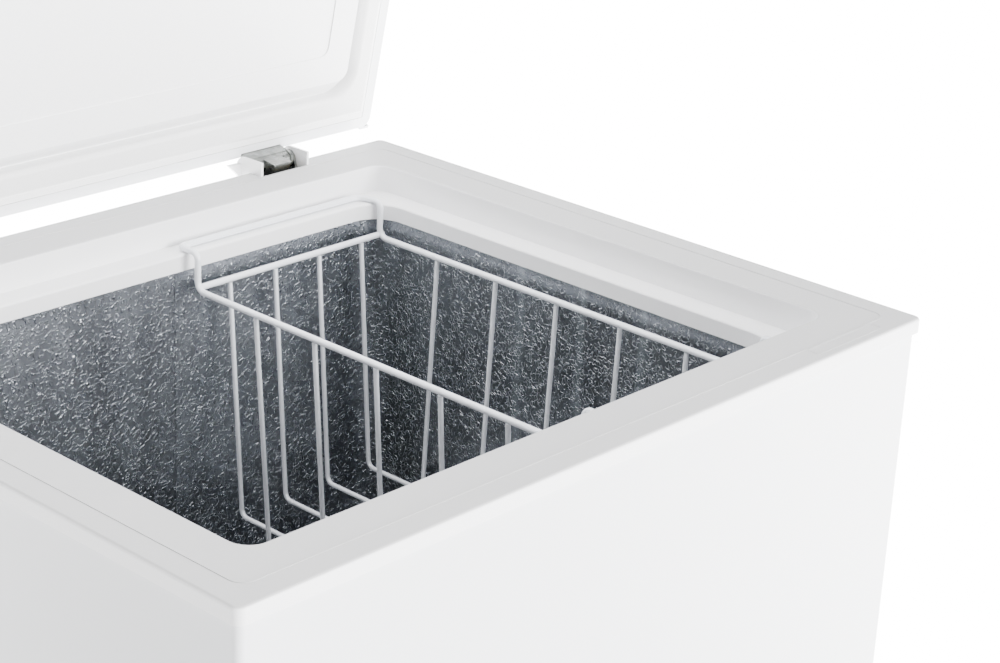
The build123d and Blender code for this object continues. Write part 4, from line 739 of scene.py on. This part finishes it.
class FREEZER_OT_machine(bpy.types.Operator):
    """Finish the compressor, tubes and wiring in the machine bay"""

    bl_idname = "freezer.machine"
    bl_label = "Machine Bay"

    def execute(self, context):
        black = painted_sheet(
            "Compressor Enamel", (0.012, 0.012, 0.014), size=0.003, roughness=0.35
        )
        dress(black, "compressor_lower_shell", "compressor_upper_shell")
        zinc = plated("Bay Zinc", (0.50, 0.51, 0.53), roughness=0.4, size=0.010)
        dress(zinc, "bay_rear_cover", "compressor_mount_plate", "bay_cover_screws",
              "compressor_bolts")
        copper = drawn_tube("Copper Tube", (0.72, 0.36, 0.22))
        dress(copper, "discharge_line", "suction_line", "capillary_tube", "filter_drier",
              "thermostat_probe")
        pale = drawn_tube("Aluminium Tube", (0.62, 0.63, 0.64), roughness=0.35)
        dress(pale, "evaporator_tube")
        enamelled = drawn_tube(
            "Enamelled Tube", (0.03, 0.03, 0.03), roughness=0.4, metallic=0.0
        )
        dress(enamelled, "condenser_tube")
        iron = drawn_tube("Motor Iron", (0.22, 0.21, 0.2), roughness=0.55)
        dress(iron, "compressor_pump_unit")
        sheath = moulded(
            "Cable Sheath", (0.02, 0.02, 0.022), roughness=0.55, grain=0.0012, depth=0.2
        )
        dress(sheath, "wiring_harness")
        return {"FINISHED"}


class FREEZER_OT_studio(bpy.types.Operator):
    """Set up the floor, soft lights and camera"""

    bl_idname = "freezer.studio"
    bl_label = "Studio"

    def execute(self, context):
        _, _, studio = settings()
        floor = bmesh.new()
        bmesh.ops.create_grid(floor, x_segments=1, y_segments=1, size=FLOOR_HALF)
        mesh = bpy.data.meshes.new("studio_floor")
        floor.to_mesh(mesh)
        floor.free()
        ground = bpy.data.objects.new("studio_floor", mesh)
        context.scene.collection.objects.link(ground)
        surface, tree, shader, vector = new_material("Studio Floor", specular=0.1)
        body = place_group(
            tree, "mottle", vector, color=(0.93, 0.93, 0.93), amount=0.01, scale=2.0, roughness=0.8
        )
        link_finish(tree, body, shader)
        self.add_glow(tree, shader, vector)
        mesh.materials.append(surface)
        self.add_world(context, studio)
        target = Vector((0, 0, FRAME_TOP))
        for name, place, side, power in LIGHTS:
            self.add_light(context, name, place, target, side, getattr(studio, power))
        self.add_camera(context, studio)
        return {"FINISHED"}

    def add_glow(self, tree, shader, vector):
        """Makes the floor glow behind the freezer, fading out towards its front left."""
        split = add_node(tree, "ShaderNodeSeparateXYZ")
        tree.links.new(vector, split.inputs[0])
        by_y = math_node(tree, "MULTIPLY", split.outputs["Y"], GLOW_WAY[1])
        behind = math_node(tree, "MULTIPLY_ADD", split.outputs["X"], GLOW_WAY[0], by_y)
        glow = remap(tree, behind, GLOW_FROM, GLOW_FULL, GLOW_LEAST, 1.0)
        paint = mix_colour(tree, glow, (0, 0, 0), (1, 1, 1))
        tree.links.new(paint, shader.inputs["Emission Color"])
        shader.inputs["Emission Strength"].default_value = GLOW_STRENGTH

    def add_world(self, context, studio):
        """Even white light from all round."""
        world = bpy.data.worlds.new("Studio World")
        world.use_nodes = True
        back = world.node_tree.nodes["Background"]
        back.inputs["Color"].default_value = (1, 1, 1, 1)
        back.inputs["Strength"].default_value = studio.room
        context.scene.world = world

    def add_light(self, context, name, place, target, side, power):
        """One square soft light aimed at the target."""
        data = bpy.data.lights.new(name, "AREA")
        data.size = side
        data.energy = power
        light = bpy.data.objects.new(name, data)
        light.location = place
        light.rotation_euler = (target - Vector(place)).to_track_quat("-Z", "Y").to_euler()
        context.scene.collection.objects.link(light)

    def add_camera(self, context, studio):
        """The camera in front of the left corner, looking down into the tank."""
        data = bpy.data.cameras.new("studio_camera")
        data.lens = studio.lens
        data.sensor_width = 36
        data.clip_end = 100
        camera = bpy.data.objects.new("studio_camera", data)
        turn = Matrix((CAMERA_RIGHT, CAMERA_UP, -CAMERA_AHEAD)).transposed().to_4x4()
        camera.matrix_world = Matrix.Translation(CAMERA_PLACE) @ turn
        context.scene.collection.objects.link(camera)
        context.scene.camera = camera


class FREEZER_PT_panel(bpy.types.Panel):
    """Buttons and settings in the sidebar"""

    bl_idname = "FREEZER_PT_panel"
    bl_label = "Freezer"
    bl_space_type = "VIEW_3D"
    bl_region_type = "UI"
    bl_category = "Freezer"

    def draw(self, context):
        for group in settings():
            box = self.layout.box()
            for name in group.__annotations__:
                box.prop(group, name)
        for operator in OPERATORS:
            self.layout.operator(operator.bl_idname)


GROUPS = (FreezerColours, FreezerSizes, FreezerStudio)
OPERATORS = (
    FREEZER_OT_cabinet,
    FREEZER_OT_tank,
    FREEZER_OT_basket,
    FREEZER_OT_lid,
    FREEZER_OT_hinges,
    FREEZER_OT_controls,
    FREEZER_OT_machine,
    FREEZER_OT_studio,
)


def register():
    """Registers the classes and hangs the settings on the scene."""
    for group in (*GROUPS, *OPERATORS, FREEZER_PT_panel):
        bpy.utils.register_class(group)
    bpy.types.Scene.freezer_colours = PointerProperty(type=FreezerColours)
    bpy.types.Scene.freezer_sizes = PointerProperty(type=FreezerSizes)
    bpy.types.Scene.freezer_studio = PointerProperty(type=FreezerStudio)


def unregister():
    """Takes them away again."""
    del bpy.types.Scene.freezer_studio
    del bpy.types.Scene.freezer_sizes
    del bpy.types.Scene.freezer_colours
    for group in reversed((*GROUPS, *OPERATORS, FREEZER_PT_panel)):
        bpy.utils.unregister_class(group)


def main():
    """Runs every step in order."""
    register()
    bpy.ops.freezer.cabinet()
    bpy.ops.freezer.tank()
    bpy.ops.freezer.basket()
    bpy.ops.freezer.lid()
    bpy.ops.freezer.hinges()
    bpy.ops.freezer.controls()
    bpy.ops.freezer.machine()
    bpy.ops.freezer.studio()


if __name__ == "__main__":
    main()
